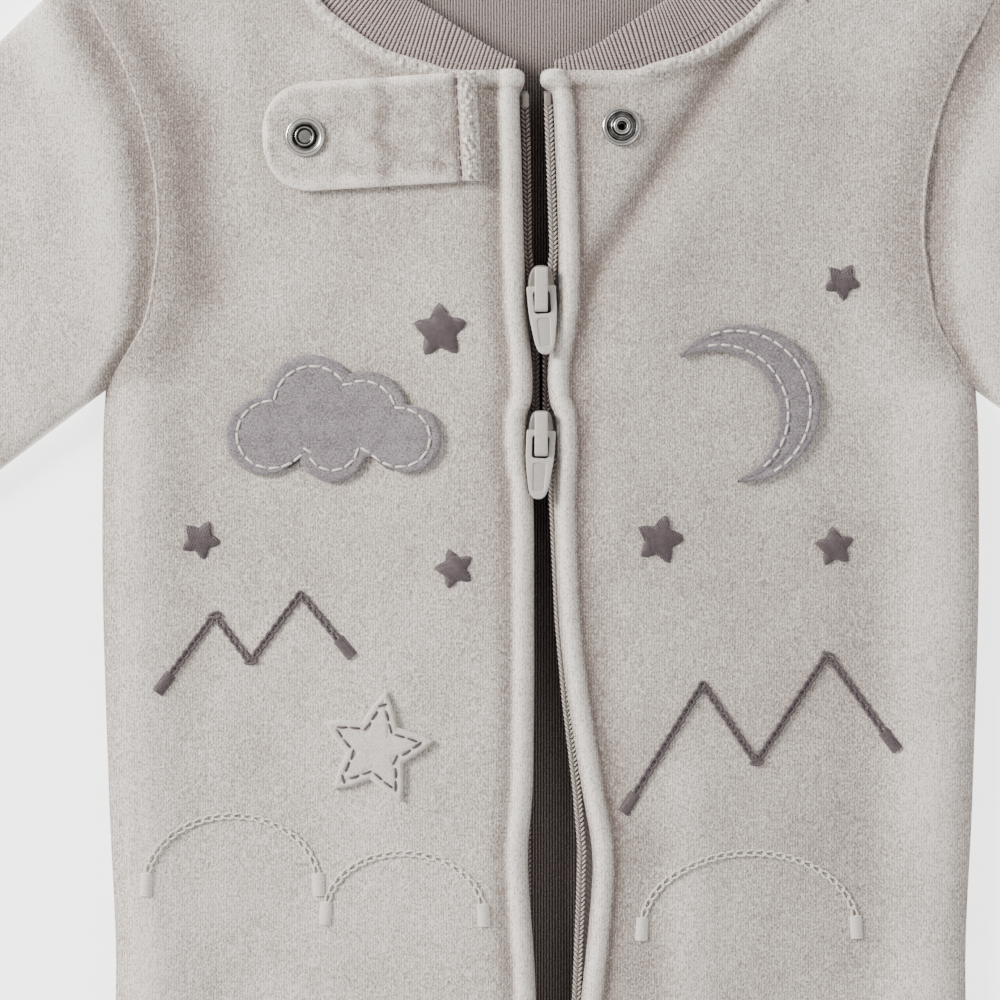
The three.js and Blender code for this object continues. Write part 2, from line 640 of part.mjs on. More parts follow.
function pull() {
  const { bar: barHalf, shoulderHalf, shoulderEnd, tipHalf, length, holeHalf, holeEnd, thickness } = PULL;
  const tipSides = 8;
  const tip = Array.from({ length: tipSides + 1 }, (_, k) => {
    const turn = (-Math.PI * k) / tipSides;
    return new THREE.Vector2(tipHalf * Math.cos(turn), -length + tipHalf + tipHalf * Math.sin(turn));
  });
  const shape = new THREE.Shape([
    new THREE.Vector2(-shoulderHalf + 1, barHalf),
    new THREE.Vector2(shoulderHalf - 1, barHalf),
    new THREE.Vector2(shoulderHalf, barHalf - 1),
    new THREE.Vector2(shoulderHalf - 0.2, -shoulderEnd),
    ...tip,
    new THREE.Vector2(-shoulderHalf + 0.2, -shoulderEnd),
    new THREE.Vector2(-shoulderHalf, barHalf - 1),
  ]);
  const hole = new THREE.Path([
    new THREE.Vector2(-holeHalf, -barHalf),
    new THREE.Vector2(-holeHalf, -holeEnd),
    new THREE.Vector2(holeHalf, -holeEnd),
    new THREE.Vector2(holeHalf, -barHalf),
  ]);
  shape.holes.push(hole);
  const geometry = new THREE.ExtrudeGeometry(shape, { depth: thickness, bevelEnabled: false });
  return geometry.translate(0, 0, -thickness / 2);
}

// The chin tab, folded open onto the left front, with the overlocked seam at its root. Its axis runs from the
// root to the rounded end, and each row has its distance along that axis, half width and thickness
const TAB = { rootX: -17.2, rootY: -35.4, endX: -77.5, endY: -38.6 };
const TAB_ROWS = [
  { out: 0, half: 14, thick: 1.2 },
  { out: 1.3, half: 14.8, thick: 2.8 },
  { out: 3, half: 14.9, thick: 3.3 },
  { out: 4.8, half: 14.8, thick: 2.6 },
  { out: 5.9, half: 14.7, thick: 1.8 },
  { out: 8, half: 14.8, thick: 2.6 },
  { out: 16, half: 15, thick: 2.8 },
  { out: 26, half: 15, thick: 2.8 },
  { out: 36, half: 15, thick: 2.8 },
  { out: 46, half: 14.6, thick: 2.8 },
  { out: 51, half: 13, thick: 2.7 },
  { out: 55, half: 10.4, thick: 2.5 },
  { out: 58.4, half: 6.6, thick: 2 },
  { out: 60.2, half: 2.4, thick: 1.4 },
];
const TAB_COLUMNS = [-1, -0.92, -0.75, -0.35, 0.35, 0.75, 0.92, 1];

function tabPoint(row, across) {
  const axis = new THREE.Vector2(TAB.endX - TAB.rootX, TAB.endY - TAB.rootY).normalize();
  const sideways = new THREE.Vector2(axis.y, -axis.x);
  return new THREE.Vector2(TAB.rootX, TAB.rootY)
    .addScaledVector(axis, row.out)
    .addScaledVector(sideways, across * row.half);
}

function tabTop(x, y) {
  const row = { out: Math.hypot(x - TAB.rootX, y - TAB.rootY) };
  return frontTop(LEFT, x, y) + REST_GAP + along(TAB_ROWS, "out", row.out, "thick");
}

function tab() {
  const plan = TAB_ROWS.map((row) => TAB_COLUMNS.map((across) => tabPoint(row, across)));
  const under = raised(plan, (x, y) => frontTop(LEFT, x, y) + REST_GAP);
  const top = under.map((points, r) => points.map((point, c) => {
    const edge = Math.abs(TAB_COLUMNS[c]) === 1 ? 0.55 : 1;
    return point.clone().setZ(point.z + edge * TAB_ROWS[r].thick);
  }));
  return wall(top, under);
}

// Snap fastener halves, turned about their axis
const SNAP_SIDES = 20;
const SOCKET = { x: -65.5, y: -38, gap: 0.45 };
const STUD = { x: 22.3, y: -35.3, gap: 0.55 };
const SOCKET_PROFILE = [
  [0, 0], [5.3, 0], [5.75, 0.4], [5.6, 1.2], [5, 1.6], [4.2, 1.5], [3.7, 0.9], [2.8, 0.9], [2.4, 1.4], [0, 1.6],
];
const STUD_PROFILE = [
  [0, 0], [5.1, 0], [5.45, 0.4], [5.1, 0.9], [4, 1.1], [3.6, 0.7], [2.4, 0.8], [2.2, 2.2], [1.2, 2.3], [1, 1],
  [0, 1],
];

function turned(profile) {
  const points = profile.map(([radius, height]) => new THREE.Vector2(radius, height));
  const lathe = new THREE.LatheGeometry(points, SNAP_SIDES).rotateX(Math.PI / 2);
  lathe.deleteAttribute("normal");
  lathe.deleteAttribute("uv");
  const merged = mergeVertices(lathe, 1e-4);
  const vertices = [];
  const position = merged.attributes.position;
  for (let i = 0; i < position.count; i++) vertices.push(new THREE.Vector3().fromBufferAttribute(position, i));
  const corners = [];
  const index = merged.index.array;
  for (let i = 0; i < index.length; i += 3) {
    const [a, b, c] = index.slice(i, i + 3);
    if (a !== b && b !== c && c !== a) corners.push(a, b, c);
  }
  return closedGeometry(vertices, corners);
}

// Sets a mesh on a surface, turned to its slope
function seat(mesh, { x, y, gap }, heightAt) {
  const step = 4;
  const slopeX = (heightAt(x + step, y) - heightAt(x - step, y)) / (2 * step);
  const slopeY = (heightAt(x, y + step) - heightAt(x, y - step)) / (2 * step);
  const normal = new THREE.Vector3(-slopeX, -slopeY, 1).normalize();
  mesh.quaternion.setFromUnitVectors(new THREE.Vector3(0, 0, 1), normal);
  mesh.position.set(x, y, heightAt(x, y)).addScaledVector(normal, gap);
}

// Felt patches. Each is made from the points of the front under it, moved out
const CLOUD = {
  x: -58, y: -118,
  puffs: [
    { x: -19, y: -3, r: 11 },
    { x: -6, y: 6, r: 13.5 },
    { x: 9, y: 3, r: 12 },
    { x: 21, y: -4, r: 9.5 },
    { x: 0, y: -6, r: 10 },
  ],
};
const STAR = { x: -46, y: -208, outer: 18, inner: 8.6, points: 5, lean: 8 };
const MOON = { x: 56, y: -112, outer: 22, inner: 18.5, offset: 9.5, lean: 205 };

// How far a union of circles reaches from its middle in one direction
function puffReach(puffs, angle) {
  const ray = new THREE.Vector2(Math.cos(angle), Math.sin(angle));
  return Math.max(...puffs.map(({ x, y, r }) => {
    const ahead = x * ray.x + y * ray.y;
    const aside = r * r - (x * x + y * y - ahead * ahead);
    return aside < 0 ? 0 : ahead + Math.sqrt(aside);
  }));
}

// A patch about a middle point, from its reach in each direction
function patch({ x, y }, side, count, reachAt) {
  const shares = [0.34, 0.68, 1];
  const plan = shares.map((share) => Array.from({ length: count }, (_, k) => {
    const angle = (2 * Math.PI * k) / count;
    const reach = share * reachAt(angle);
    return new THREE.Vector2(x + reach * Math.cos(angle), y + reach * Math.sin(angle));
  }));
  const level = (lift) => [
    new THREE.Vector3(x, y, frontTop(side, x, y) + lift),
    ...raised(plan, (px, py) => frontTop(side, px, py) + lift).flat(),
  ];
  const points = [...level(REST_GAP + FELT), ...level(REST_GAP)];
  const under = points.length / 2;
  const at = (ring, k) => 1 + ring * count + (k % count);
  const corners = [];
  for (let k = 0; k < count; k++) {
    corners.push(0, at(0, k), at(0, k + 1), under, under + at(0, k + 1), under + at(0, k));
    for (let ring = 0; ring < shares.length - 1; ring++) {
      const [a, b, c, d] = [at(ring, k), at(ring + 1, k), at(ring + 1, k + 1), at(ring, k + 1)];
      corners.push(a, b, c, a, c, d, under + a, under + c, under + b, under + a, under + d, under + c);
    }
    const [a, b] = [at(shares.length - 1, k), at(shares.length - 1, k + 1)];
    corners.push(a, under + a, under + b, a, under + b, b);
  }
  return closedGeometry(points, corners);
}

function cloud() {
  return patch(CLOUD, LEFT, 40, (angle) => puffReach(CLOUD.puffs, angle));
}

// Straight stretches between the tips and the notches of a star
function starReach(angle) {
  const sector = Math.PI / STAR.points;
  const turn = angle - degToRad(STAR.lean);
  const within = Math.abs(((turn % (2 * sector)) + 3 * sector) % (2 * sector) - sector);
  const tip = new THREE.Vector2(STAR.outer, 0);
  const notch = new THREE.Vector2(Math.cos(sector), Math.sin(sector)).multiplyScalar(STAR.inner);
  const ray = new THREE.Vector2(Math.cos(within), Math.sin(within));
  const edge = notch.clone().sub(tip);
  return tip.cross(edge) / ray.cross(edge);
}

function star() {
  return patch(STAR, LEFT, 40, starReach);
}

function moon() {
  const tipX = (MOON.outer ** 2 - MOON.inner ** 2 + MOON.offset ** 2) / (2 * MOON.offset);
  const outerStart = Math.acos(tipX / MOON.outer);
  const innerStart = Math.acos((tipX - MOON.offset) / MOON.inner);
  const [rows, columns, tipShare] = [22, 4, 0.025];
  const plan = Array.from({ length: rows + 1 }, (_, r) => {
    const share = lerp(tipShare, 1 - tipShare, r / rows);
    const outerTurn = lerp(outerStart, 2 * Math.PI - outerStart, share);
    const innerTurn = lerp(innerStart, 2 * Math.PI - innerStart, share);
    const outer = new THREE.Vector2(Math.cos(outerTurn), Math.sin(outerTurn)).multiplyScalar(MOON.outer);
    const inner = new THREE.Vector2(Math.cos(innerTurn), Math.sin(innerTurn)).multiplyScalar(MOON.inner);
    inner.x += MOON.offset;
    return Array.from({ length: columns + 1 }, (_, c) => {
      const point = inner.clone().lerp(outer, c / columns);
      return point.rotateAround(new THREE.Vector2(), degToRad(MOON.lean)).add(MOON);
    });
  });
  return wall(
    raised(plan, (x, y) => frontTop(RIGHT, x, y) + REST_GAP + FELT),
    raised(plan, (x, y) => frontTop(RIGHT, x, y) + REST_GAP),
  );
}

// Materials
const VELOUR = new THREE.MeshStandardMaterial({ color: 0xbab3af, roughness: 0.95, metalness: 0 });
const RIB = new THREE.MeshStandardMaterial({ color: 0xaca09c, roughness: 0.9, metalness: 0 });
const ZIP_TAPE = new THREE.MeshStandardMaterial({ color: 0xa0958f, roughness: 0.85, metalness: 0 });
const PLASTIC = new THREE.MeshStandardMaterial({ color: 0xb8b2ad, roughness: 0.45, metalness: 0 });
const STEEL = new THREE.MeshStandardMaterial({ color: 0xb9b4b0, roughness: 0.3, metalness: 1 });
const GREY_FELT = new THREE.MeshStandardMaterial({ color: 0x948a8d, roughness: 0.95, metalness: 0 });
const CREAM_FELT = new THREE.MeshStandardMaterial({ color: 0xd4cdc7, roughness: 0.95, metalness: 0 });

const garment = new THREE.Group();

function add(name, geometry, material, parent = garment) {
  const mesh = new THREE.Mesh(geometry, material);
  mesh.name = name;
  parent.add(mesh);
  return mesh;
}

add("back", backPanel(), VELOUR);
add("front_left", frontPanel(LEFT), VELOUR);
add("front_right", frontPanel(RIGHT), VELOUR);
add("sleeve_left", sleeve(LEFT), VELOUR);
add("sleeve_right", sleeve(RIGHT), VELOUR);
add("collar", collar(), RIB);
add("zip_tape_left", tape(LEFT), ZIP_TAPE);
add("zip_tape_right", tape(RIGHT), ZIP_TAPE);
add("snap_tab", tab(), VELOUR);
seat(add("snap_socket", turned(SOCKET_PROFILE), STEEL), SOCKET, tabTop);
seat(add("snap_stud", turned(STUD_PROFILE), STEEL), STUD, (x, y) => frontTop(RIGHT, x, y));
add("applique_cloud", cloud(), GREY_FELT);
add("applique_star", star(), CREAM_FELT);
add("applique_moon", moon(), GREY_FELT);

for (const { name, y, opensTowards, skew } of ZIPPERS) {
  const zipper = new THREE.Group();
  zipper.position.set(0, y, zipLevel(y));
  garment.add(zipper);
  add("zip_slider_" + name, slider(opensTowards), PLASTIC, zipper);
  const tongue = add("zip_pull_" + name, pull(), PLASTIC, zipper);
  tongue.position.set(0, PULL_RELATIVE_Y, PULL.axis);
  tongue.rotation.set(degToRad(-PULL.tilt), 0, degToRad(skew), "ZXY");
}

// The origin is on the surface, under the middle of the whole garment
const extent = new THREE.Box3().setFromObject(garment);
const middle = extent.getCenter(new THREE.Vector3());
garment.position.set(-middle.x, -middle.y, -extent.min.z);

export default garment;
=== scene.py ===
# %% [markdown]
# # A baby's zip sleepsuit in velour, laid on its back
#
# The garment lies flat with the neck partly unzipped, and the camera looks straight down on the chest.
# Every shape here is worked out in millimetres in the plan of the sewing pattern: x to the right across the
# chest, y up towards the neck, z up from the table. A row of the pattern at y = 0 crosses the neck opening.
# The frame of the part is in metres, so the last step of each shape turns millimetres into metres.
#
# Soft pieces are made here in place of the plain solids. Each one keeps the outline and the height of the
# solid that it stands for, and adds what cloth does: rolls, creases, nap, ribs and stitches.

# %% Open the part and read how high it sits in its frame
import json
import math

import bmesh
import bpy
import numpy as np
from mathutils import Matrix, Vector

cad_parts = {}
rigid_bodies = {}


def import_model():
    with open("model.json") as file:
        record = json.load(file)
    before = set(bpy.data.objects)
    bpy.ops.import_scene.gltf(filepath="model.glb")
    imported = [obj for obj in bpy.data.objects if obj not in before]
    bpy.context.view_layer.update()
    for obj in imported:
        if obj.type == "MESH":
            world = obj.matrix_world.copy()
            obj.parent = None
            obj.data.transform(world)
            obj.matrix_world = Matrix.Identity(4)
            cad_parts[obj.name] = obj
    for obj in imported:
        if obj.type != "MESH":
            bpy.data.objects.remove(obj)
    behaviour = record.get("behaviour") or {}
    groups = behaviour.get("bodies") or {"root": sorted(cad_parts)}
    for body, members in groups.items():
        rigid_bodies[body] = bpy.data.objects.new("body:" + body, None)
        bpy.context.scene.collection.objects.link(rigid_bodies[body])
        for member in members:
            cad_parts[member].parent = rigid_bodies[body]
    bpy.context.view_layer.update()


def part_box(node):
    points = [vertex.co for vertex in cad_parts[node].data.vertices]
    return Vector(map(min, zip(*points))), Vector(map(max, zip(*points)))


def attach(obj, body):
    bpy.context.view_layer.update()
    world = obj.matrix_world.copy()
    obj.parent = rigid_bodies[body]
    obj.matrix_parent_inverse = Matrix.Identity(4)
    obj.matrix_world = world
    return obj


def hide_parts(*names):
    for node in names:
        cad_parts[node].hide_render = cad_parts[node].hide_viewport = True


for leftover in list(bpy.data.objects):
    bpy.data.objects.remove(leftover)

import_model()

MM = 0.001
HEM = -554
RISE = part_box("back")[0].y / MM - HEM  # from the pattern's y to the frame's y, in millimetres
print("the frame is", round(RISE, 2), "mm above the pattern")

# %% [markdown]
# ## Camera
#
# The photograph is a close view from straight above, with no perspective to speak of. A long lens at a
# little under 80 cm does the same. It frames 278 mm of the garment, slightly left of the middle of the zip.

# %% The camera
LENS = 100
SENSOR = 36
FRAMED_WIDTH = 277.8
FRAMED_MIDDLE = (-11.4, -138.9)
FOCUS_HEIGHT = 10

camera_data = bpy.data.cameras.new("camera")
camera_data.lens = LENS
camera_data.sensor_width = SENSOR
camera = bpy.data.objects.new("camera", camera_data)
bpy.context.scene.collection.objects.link(camera)
camera_distance = FRAMED_WIDTH * LENS / SENSOR
aim_x, aim_y = FRAMED_MIDDLE
camera.location = (aim_x * MM, (RISE + aim_y) * MM, (FOCUS_HEIGHT + camera_distance) * MM)
bpy.context.scene.camera = camera
print("camera", round(camera_distance), "mm away")

# %% [markdown]
# ## The pattern
#
# These tables are the cut of the garment, as half widths, and the places of both sides of the zip. They are
# the same ones that the solids are made from. Curved seams are given by a few points each, and a smooth line
# is laid through them, because a sewn curve has no corners.

# %% Tables of the cut
WALL = 2.0
FELT = 1.3
SEAM_GAP = 0.7
REST_GAP = 0.6
ZIP_TOP = -19.4
SHOULDER = (131, 10)
NECK_POINT = (74, 26)
BACK_NECK_CENTRE = 18
UNDERARM = -107.2
CROTCH = -374

ARMHOLE = [
    (131, 10), (122.5, -7), (117.8, -15), (113.3, -26), (110.3, -35.8), (107.8, -48.3), (106.7, -63.3),
    (107.8, -74.4), (110.3, -87.8), (115, -96.7), (121.7, UNDERARM),
]
SIDE_SEAM = [
    (121.7, UNDERARM), (122.5, -125), (122.5, -167), (120.8, -222), (118.9, -278), (124, -340), (118, HEM),
]
NECK = [
    (23.9, -19.4), (33.6, -17.2), (44.7, -13.3), (55.6, -5.6), (61.7, 0), (72, 14), NECK_POINT,
]
BACK_NECK = [(0, BACK_NECK_CENTRE), (25, 18.4), (50, 20.5), (66, 23.5), NECK_POINT]
INSEAM = [(0.3, CROTCH), (8, -392), (18, -430), (40, HEM)]

# Height, left edge, left coil, right coil, right edge
ZIP = np.array([
    (ZIP_TOP, -5.6, -3.3, 0.5, 0.9),
    (-20.6, -4.7, -3.3, 0.5, -0.1),
    (-23.4, -4.7, -3.3, 0.5, -0.1),
    (-25, -5.4, -3.3, 0.5, 1.8),
    (-27, -6, -3.2, 0.6, 3.2),
    (-41.7, -5.5, -2.6, 1.2, 4),
    (-69.4, -4.7, -2.3, 2.2, 4.9),
    (-79, -4.3, -1.2, 1.2, 4.7),
    (-86.1, -4.1, -0.2, 0.2, 4.6),
    (-101, -2.5, -0.2, 0.2, 2),
    (-111, -2.5, -0.2, 0.2, 2.3),
    (-115, -3.8, -0.2, 0.2, 3.8),
    (-120, -4, -0.9, 0.9, 4.1),
    (-128, -3.6, -2, 1.8, 4.2),
    (-138.9, -2.1, -2.3, 2.0, 3.6),
    (-172.2, -1.9, -2.4, 3.6, 5.0),
    (-194.4, -1.9, -2.4, 5.6, 7.5),
    (-219.4, -2.3, -2.4, 8.6, 11.4),
    (-236.1, -3.6, -2.6, 10, 14.2),
    (-250, -3.1, -2.5, 9.6, 13.9),
    (-277.8, -1.4, -2.2, 8.5, 11.1),
    (-320, -1.8, -1.6, 3.6, 6),
    (-346, -2.3, -0.2, 0.2, 2.6),
    (-356, -0.3, -0.2, 0.2, 0.3),
    (CROTCH, -0.3, -0.2, 0.2, 0.3),
])
LEFT_EDGE, LEFT_COIL, RIGHT_COIL, RIGHT_EDGE = 1, 2, 3, 4


def smooth_line(points, pieces=6):
    """A smooth line through points, each stretch in a number of pieces."""
    points = np.array(points, float)
    before = np.vstack([2 * points[0] - points[1], points, 2 * points[-1] - points[-2]])
    line = []
    for k in range(1, len(before) - 2):
        a, b, c, d = before[k - 1:k + 3]
        for step in range(pieces):
            t = step / pieces
            bend = (2 * a - 5 * b + 4 * c - d) * t**2 + (3 * b - a - 3 * c + d) * t**3
            line.append(b + 0.5 * ((c - a) * t + bend))
    line.append(points[-1])
    return np.array(line)


def mirrored(line, sign):
    return np.array(line, float) * (sign, 1)


class Side:
    """One half of the garment, with its seams as lines."""

    def __init__(self, sign, edge, coil, placket, shade):
        self.sign = sign
        self.edge = edge
        self.coil = coil
        self.placket = placket
        self.shade = shade
        zip_points = [(row[edge], row[0]) for row in ZIP]
        neck_start = (abs(ZIP[0][edge]), ZIP_TOP)
        neck = smooth_line([neck_start, *NECK])
        self.zip_line = smooth_line(zip_points, 3)
        self.armhole_line = mirrored(smooth_line(ARMHOLE), sign)
        self.side_line = np.vstack([self.armhole_line, mirrored(smooth_line(SIDE_SEAM), sign)])
        self.neck_line = mirrored(neck, sign)
        self.shoulder_line = mirrored([NECK_POINT, SHOULDER], sign)
        self.inseam_line = mirrored(smooth_line(INSEAM), sign)
        self.front_top = mirrored([*neck, SHOULDER], sign)
        self.back_top = mirrored([*smooth_line(BACK_NECK), SHOULDER], sign)


# The last value is how much painted shade lies in the hollow past each placket roll
LEFT = Side(-1, LEFT_EDGE, LEFT_COIL, 6.1, 0.2)
RIGHT = Side(1, RIGHT_EDGE, RIGHT_COIL, 5.7, 0.32)
print("seam lines of", len(LEFT.side_line), "points a side")

# %% [markdown]
# ## Ways to measure on the pattern
#
# A cloth surface is described by how far a point is from a seam, an edge or a fold, so these few functions
# work on whole arrays of points at once.

# %% Distances and soft steps


def smooth(value, low, high):
    """0 below low, 1 above high and a soft step between."""
    t = np.clip((value - low) / (high - low), 0, 1)
    return t * t * (3 - 2 * t)


def soft_table(value, places, heights, blur):
    """A table read between its rows, with its corners rounded off."""
    offsets = np.linspace(-blur, blur, 5)
    return sum(np.interp(value + step, places, heights) for step in offsets) / len(offsets)


def line_distance(line, x, y):
    """How far points are from a line of straight stretches."""
    nearest = np.full(np.shape(x), np.inf)
    for (ax, ay), (bx, by) in zip(line[:-1], line[1:]):
        dx, dy = bx - ax, by - ay
        size = dx * dx + dy * dy
        if size < 1e-9:
            continue
        share = np.clip(((x - ax) * dx + (y - ay) * dy) / size, 0, 1)
        nearest = np.minimum(nearest, np.hypot(x - ax - share * dx, y - ay - share * dy))
    return nearest


def across_line(line, y):
    """The x of a line at heights y, for a line that only runs downwards."""
    order = np.argsort(line[:, 1], kind="stable")
    return np.interp(y, line[order, 1], line[order, 0])


def line_steps(line):
    return np.concatenate([[0], np.cumsum(np.hypot(*np.diff(line, axis=0).T))])


def line_point(line, share):
    """Points at shares of a line's length, as x and y."""
    steps = line_steps(line)
    at = np.asarray(share) * steps[-1]
    return np.interp(at, steps, line[:, 0]), np.interp(at, steps, line[:, 1])


def zip_column(y, column):
    return np.interp(y, ZIP[::-1, 0], ZIP[::-1, column])


def waves(x, y, count, shortest, longest, seed):
    """A sum of soft waves in all directions, from about -1 to 1, which always comes out the same."""
    random = np.random.default_rng(seed)
    total = np.zeros(np.shape(x))
    for _ in range(count):
        heading = random.uniform(0, math.pi)
        size = random.uniform(shortest, longest)
        phase = random.uniform(0, 2 * math.pi)
        total += np.sin((x * math.cos(heading) + y * math.sin(heading)) * 2 * math.pi / size + phase)
    return total / math.sqrt(count)


print("left placket edge at the neck", round(float(zip_column(-20, LEFT_EDGE)), 2))

# %% [markdown]
# ## How the fronts lie
#
# The two fronts rest on the back. Beside the zip they stand about 4 mm higher, because the folded edges and
# the zip are stiff. The folded edges roll, the side seams roll over softly, and the neck seam makes a ridge.
# Velour also keeps shallow troughs and ridges from being folded and pulled, listed here one by one as lines.

# %% The height of the fronts
LAY = 6.6
TENT = 4.3
TENT_START = 10
TENT_REACH = 80
ZIP_FADE = (-352, -290)
ARMHOLE_RISE = 2.8
ARMHOLE_REACH = 26
FOLD_MARGIN = 10
PLACKET_GROOVE = -24.5
PAINTED_LIGHT_RANGE = (-0.5, 0.38)

PLACKET_SHARES = [0, 0.06, 0.16, 0.32, 0.55, 0.78, 0.93, 1.05, 1.3, 1.8]
PLACKET_HEIGHTS = [-2.0, -0.6, 0.5, 1.4, 1.8, 1.4, 0.4, -0.5, -0.4, 0]
SEAM_INWARDS = [0, 1.2, 2.5, 6, 11, 18, 28, 36]
SEAM_HEIGHTS = [-2.2, -0.9, -0.2, 1.1, 1.8, 1.6, 0.3, 0]
NECK_DOWN = [0, 0.8, 2, 3.2, 4.6, 6.5, 9]
NECK_HEIGHTS = [-0.4, 0.9, 1.4, 1.0, -0.3, -0.4, 0]

# The line, half width and rise of each trough or ridge
FOLDS = [
    ([(-102, -96), (-101, -225)], 9, -1.3),
    ([(-101, -240), (-95, -330)], 8, -1.3),
    ([(-118, 4), (-97, -31), (-93, -80)], 8, -1.5),
    ([(-86, -14), (-84, -60)], 9, 0.6),
    ([(-110, -20), (-102, -56)], 4, -0.4),
    ([(-54, -9), (-43, -21)], 2.5, -0.5),
    ([(-47, -9), (-36, -23)], 2.5, 0.4),
    ([(59, -7), (52, -16.5), (41.4, -33.3), (27.5, -55.6), (13, -79)], 3.6, -1.9),
    ([(50, -22), (27, -58), (13, -90)], 9, -0.6),
    ([(66, -12), (47, -43), (33, -68)], 6, 0.7),
    ([(13, -84), (13.5, -150)], 3.5, -0.7),
    ([(15, -160), (21, -230)], 4, -0.6),
    ([(41, -220), (42, -310)], 9, 1),
    ([(30, -236), (31, -300)], 7, -1.1),
    ([(88, -150), (96, -260)], 12, -0.7),
    ([(-60, -392), (-98, -408)], 8, -1),
    ([(58, -398), (96, -410)], 8, -1),
    ([(-50, -470), (-90, -480)], 8, -0.9),
    ([(52, -476), (88, -484)], 8, -0.9),
]


def zip_share(y):
    """1 beside the zip, falling to 0 past its lower end."""
    return smooth(y, *ZIP_FADE)


def armhole_share(y):
    """1 in the middle of the armhole and 0 at both its ends."""
    top = SHOULDER[1]
    share = np.clip((top - y) / (top - UNDERARM), 0, 1)
    return np.sin(math.pi * share)


def seam_distance(side, x, y):
    lines = (side.side_line, side.shoulder_line, side.inseam_line)
    return np.minimum.reduce([line_distance(line, x, y) for line in lines])


def fold_rise(x, y):
    total = np.zeros(np.shape(x))
    for line, width, rise in FOLDS:
        total += rise * np.exp(-((line_distance(line, x, y) / width) ** 2))
    return total


def front_surface(side, x, y):
    """The upper face of a front, in millimetres above the table, and its painted light and shade."""
    x, y = np.asarray(x, float), np.asarray(y, float)
    from_zip = line_distance(side.zip_line, x, y)
    from_seam = seam_distance(side, x, y)
    from_armhole = line_distance(side.armhole_line, x, y)
    from_neck = line_distance(side.neck_line, x, y)
    opened = zip_share(y)
    tent = TENT * (1 - smooth(from_zip, TENT_START, TENT_REACH))
    placket = opened * soft_table(from_zip / side.placket, PLACKET_SHARES, PLACKET_HEIGHTS, 0.05)
    at_armhole = armhole_share(y)
    seam = soft_table(from_seam, SEAM_INWARDS, SEAM_HEIGHTS, 0.6) * (1 - 0.9 * at_armhole**0.35)
    armhole = ARMHOLE_RISE * np.sqrt(at_armhole) * (1 - smooth(from_armhole, 0, ARMHOLE_REACH))
    bead = 0.45 * at_armhole**0.25 * np.exp(-(((from_armhole - 0.45) / 0.45) ** 2))
    plain_end = smooth(np.abs(x), 22, 34)
    ridge = soft_table(from_neck, NECK_DOWN, NECK_HEIGHTS, 0.4) * (0.6 - 0.2 * plain_end)
    inside = smooth(from_seam, 0, FOLD_MARGIN) * smooth(from_zip, 4, 12)
    lying = inside * (fold_rise(x, y) + 0.22 * waves(x, y, 9, 22, 60, 4))
    pucker = 0.16 * waves(x, y, 7, 5, 11, 8) * np.exp(-np.minimum(from_neck, from_armhole) / 7)
    height = LAY + opened * tent + placket + seam + armhole + bead + ridge + lying + pucker
    past_roll = from_zip / side.placket - 1.12
    hollow = np.exp(-((past_roll / np.where(past_roll < 0, 0.14, 0.7)) ** 2)) * opened
    groove = np.exp(-(((y - PLACKET_GROOVE) / 0.55) ** 2)) * (1 - smooth(np.abs(x - side.sign * 3), 12, 15))
    low_left = 0.12 * smooth(-y, 120, 240) * smooth(-x, 0, 20)
    # Painted light: lighter on the placket rolls, the neck ridge, the folds, the bead, the neck strip and the lower
    # left; painted shade in the hollow past each roll, in the groove, beside the armhole and beside the neck
    pile = 0.3 * np.clip(placket, -0.4, 1.7) + 0.2 * np.clip(ridge, -0.5, 1.4) + low_left
    pile += 0.17 * seam + 0.18 * lying + 0.6 * bead - side.shade * hollow - 0.35 * groove
    pile -= 0.27 * at_armhole**0.5 * np.exp(-(((from_armhole - 6) / 10) ** 2))
    pile -= 0.16 * plain_end * np.exp(-(((from_neck - 4.4) / 1.6) ** 2))
    pile += 0.16 * (1 - smooth(from_neck, 3, 5)) * (1 - plain_end)
    return height - 0.3 * groove, np.clip(pile, *PAINTED_LIGHT_RANGE)


def front_height(side, x, y):
    return front_surface(side, x, y)[0]


print("height beside the zip", front_height(LEFT, [-8.0], [-60.0]).round(2))

# %% [markdown]
# ## Making cloth from a grid
#
# A panel of cloth is a flat grid that is bent into place. The grid's own place across and along is kept as
# its UV map in metres, so that a weave or a stitch can follow the cloth wherever it goes. A tube is the same
# grid with its first and last columns sewn together.
#
# Light and shade are also painted into the colour: lighter over folds, rolls and rims, and darker in hollows,
# grooves and seams, with some random tone of the nap. Each shape may give that as a fourth value, above 0 for
# a painted highlight and below 0 for painted shade, and the materials read it as an attribute of the mesh.

# %% Cloth helpers


def spread(count, marks, shares):
    """Positions from 0 to 1, closer together where the shares grow more slowly than the marks."""
    return np.interp(np.linspace(0, 1, count + 1), marks, shares)


def finish_mesh(name, mesh, upwards=False):
    """Turns a bmesh into a smooth object. An open cloth may be told to face up."""
    if upwards:
        mesh.normal_update()
        if sum(face.normal.z * face.calc_area() for face in mesh.faces) < 0:
            bmesh.ops.reverse_faces(mesh, faces=mesh.faces)
    else:
        bmesh.ops.recalc_face_normals(mesh, faces=mesh.faces)
    data = bpy.data.meshes.new(name)
    mesh.to_mesh(data)
    mesh.free()
    data.shade_smooth()
    piece = bpy.data.objects.new(name, data)
    bpy.context.scene.collection.objects.link(piece)
    return piece


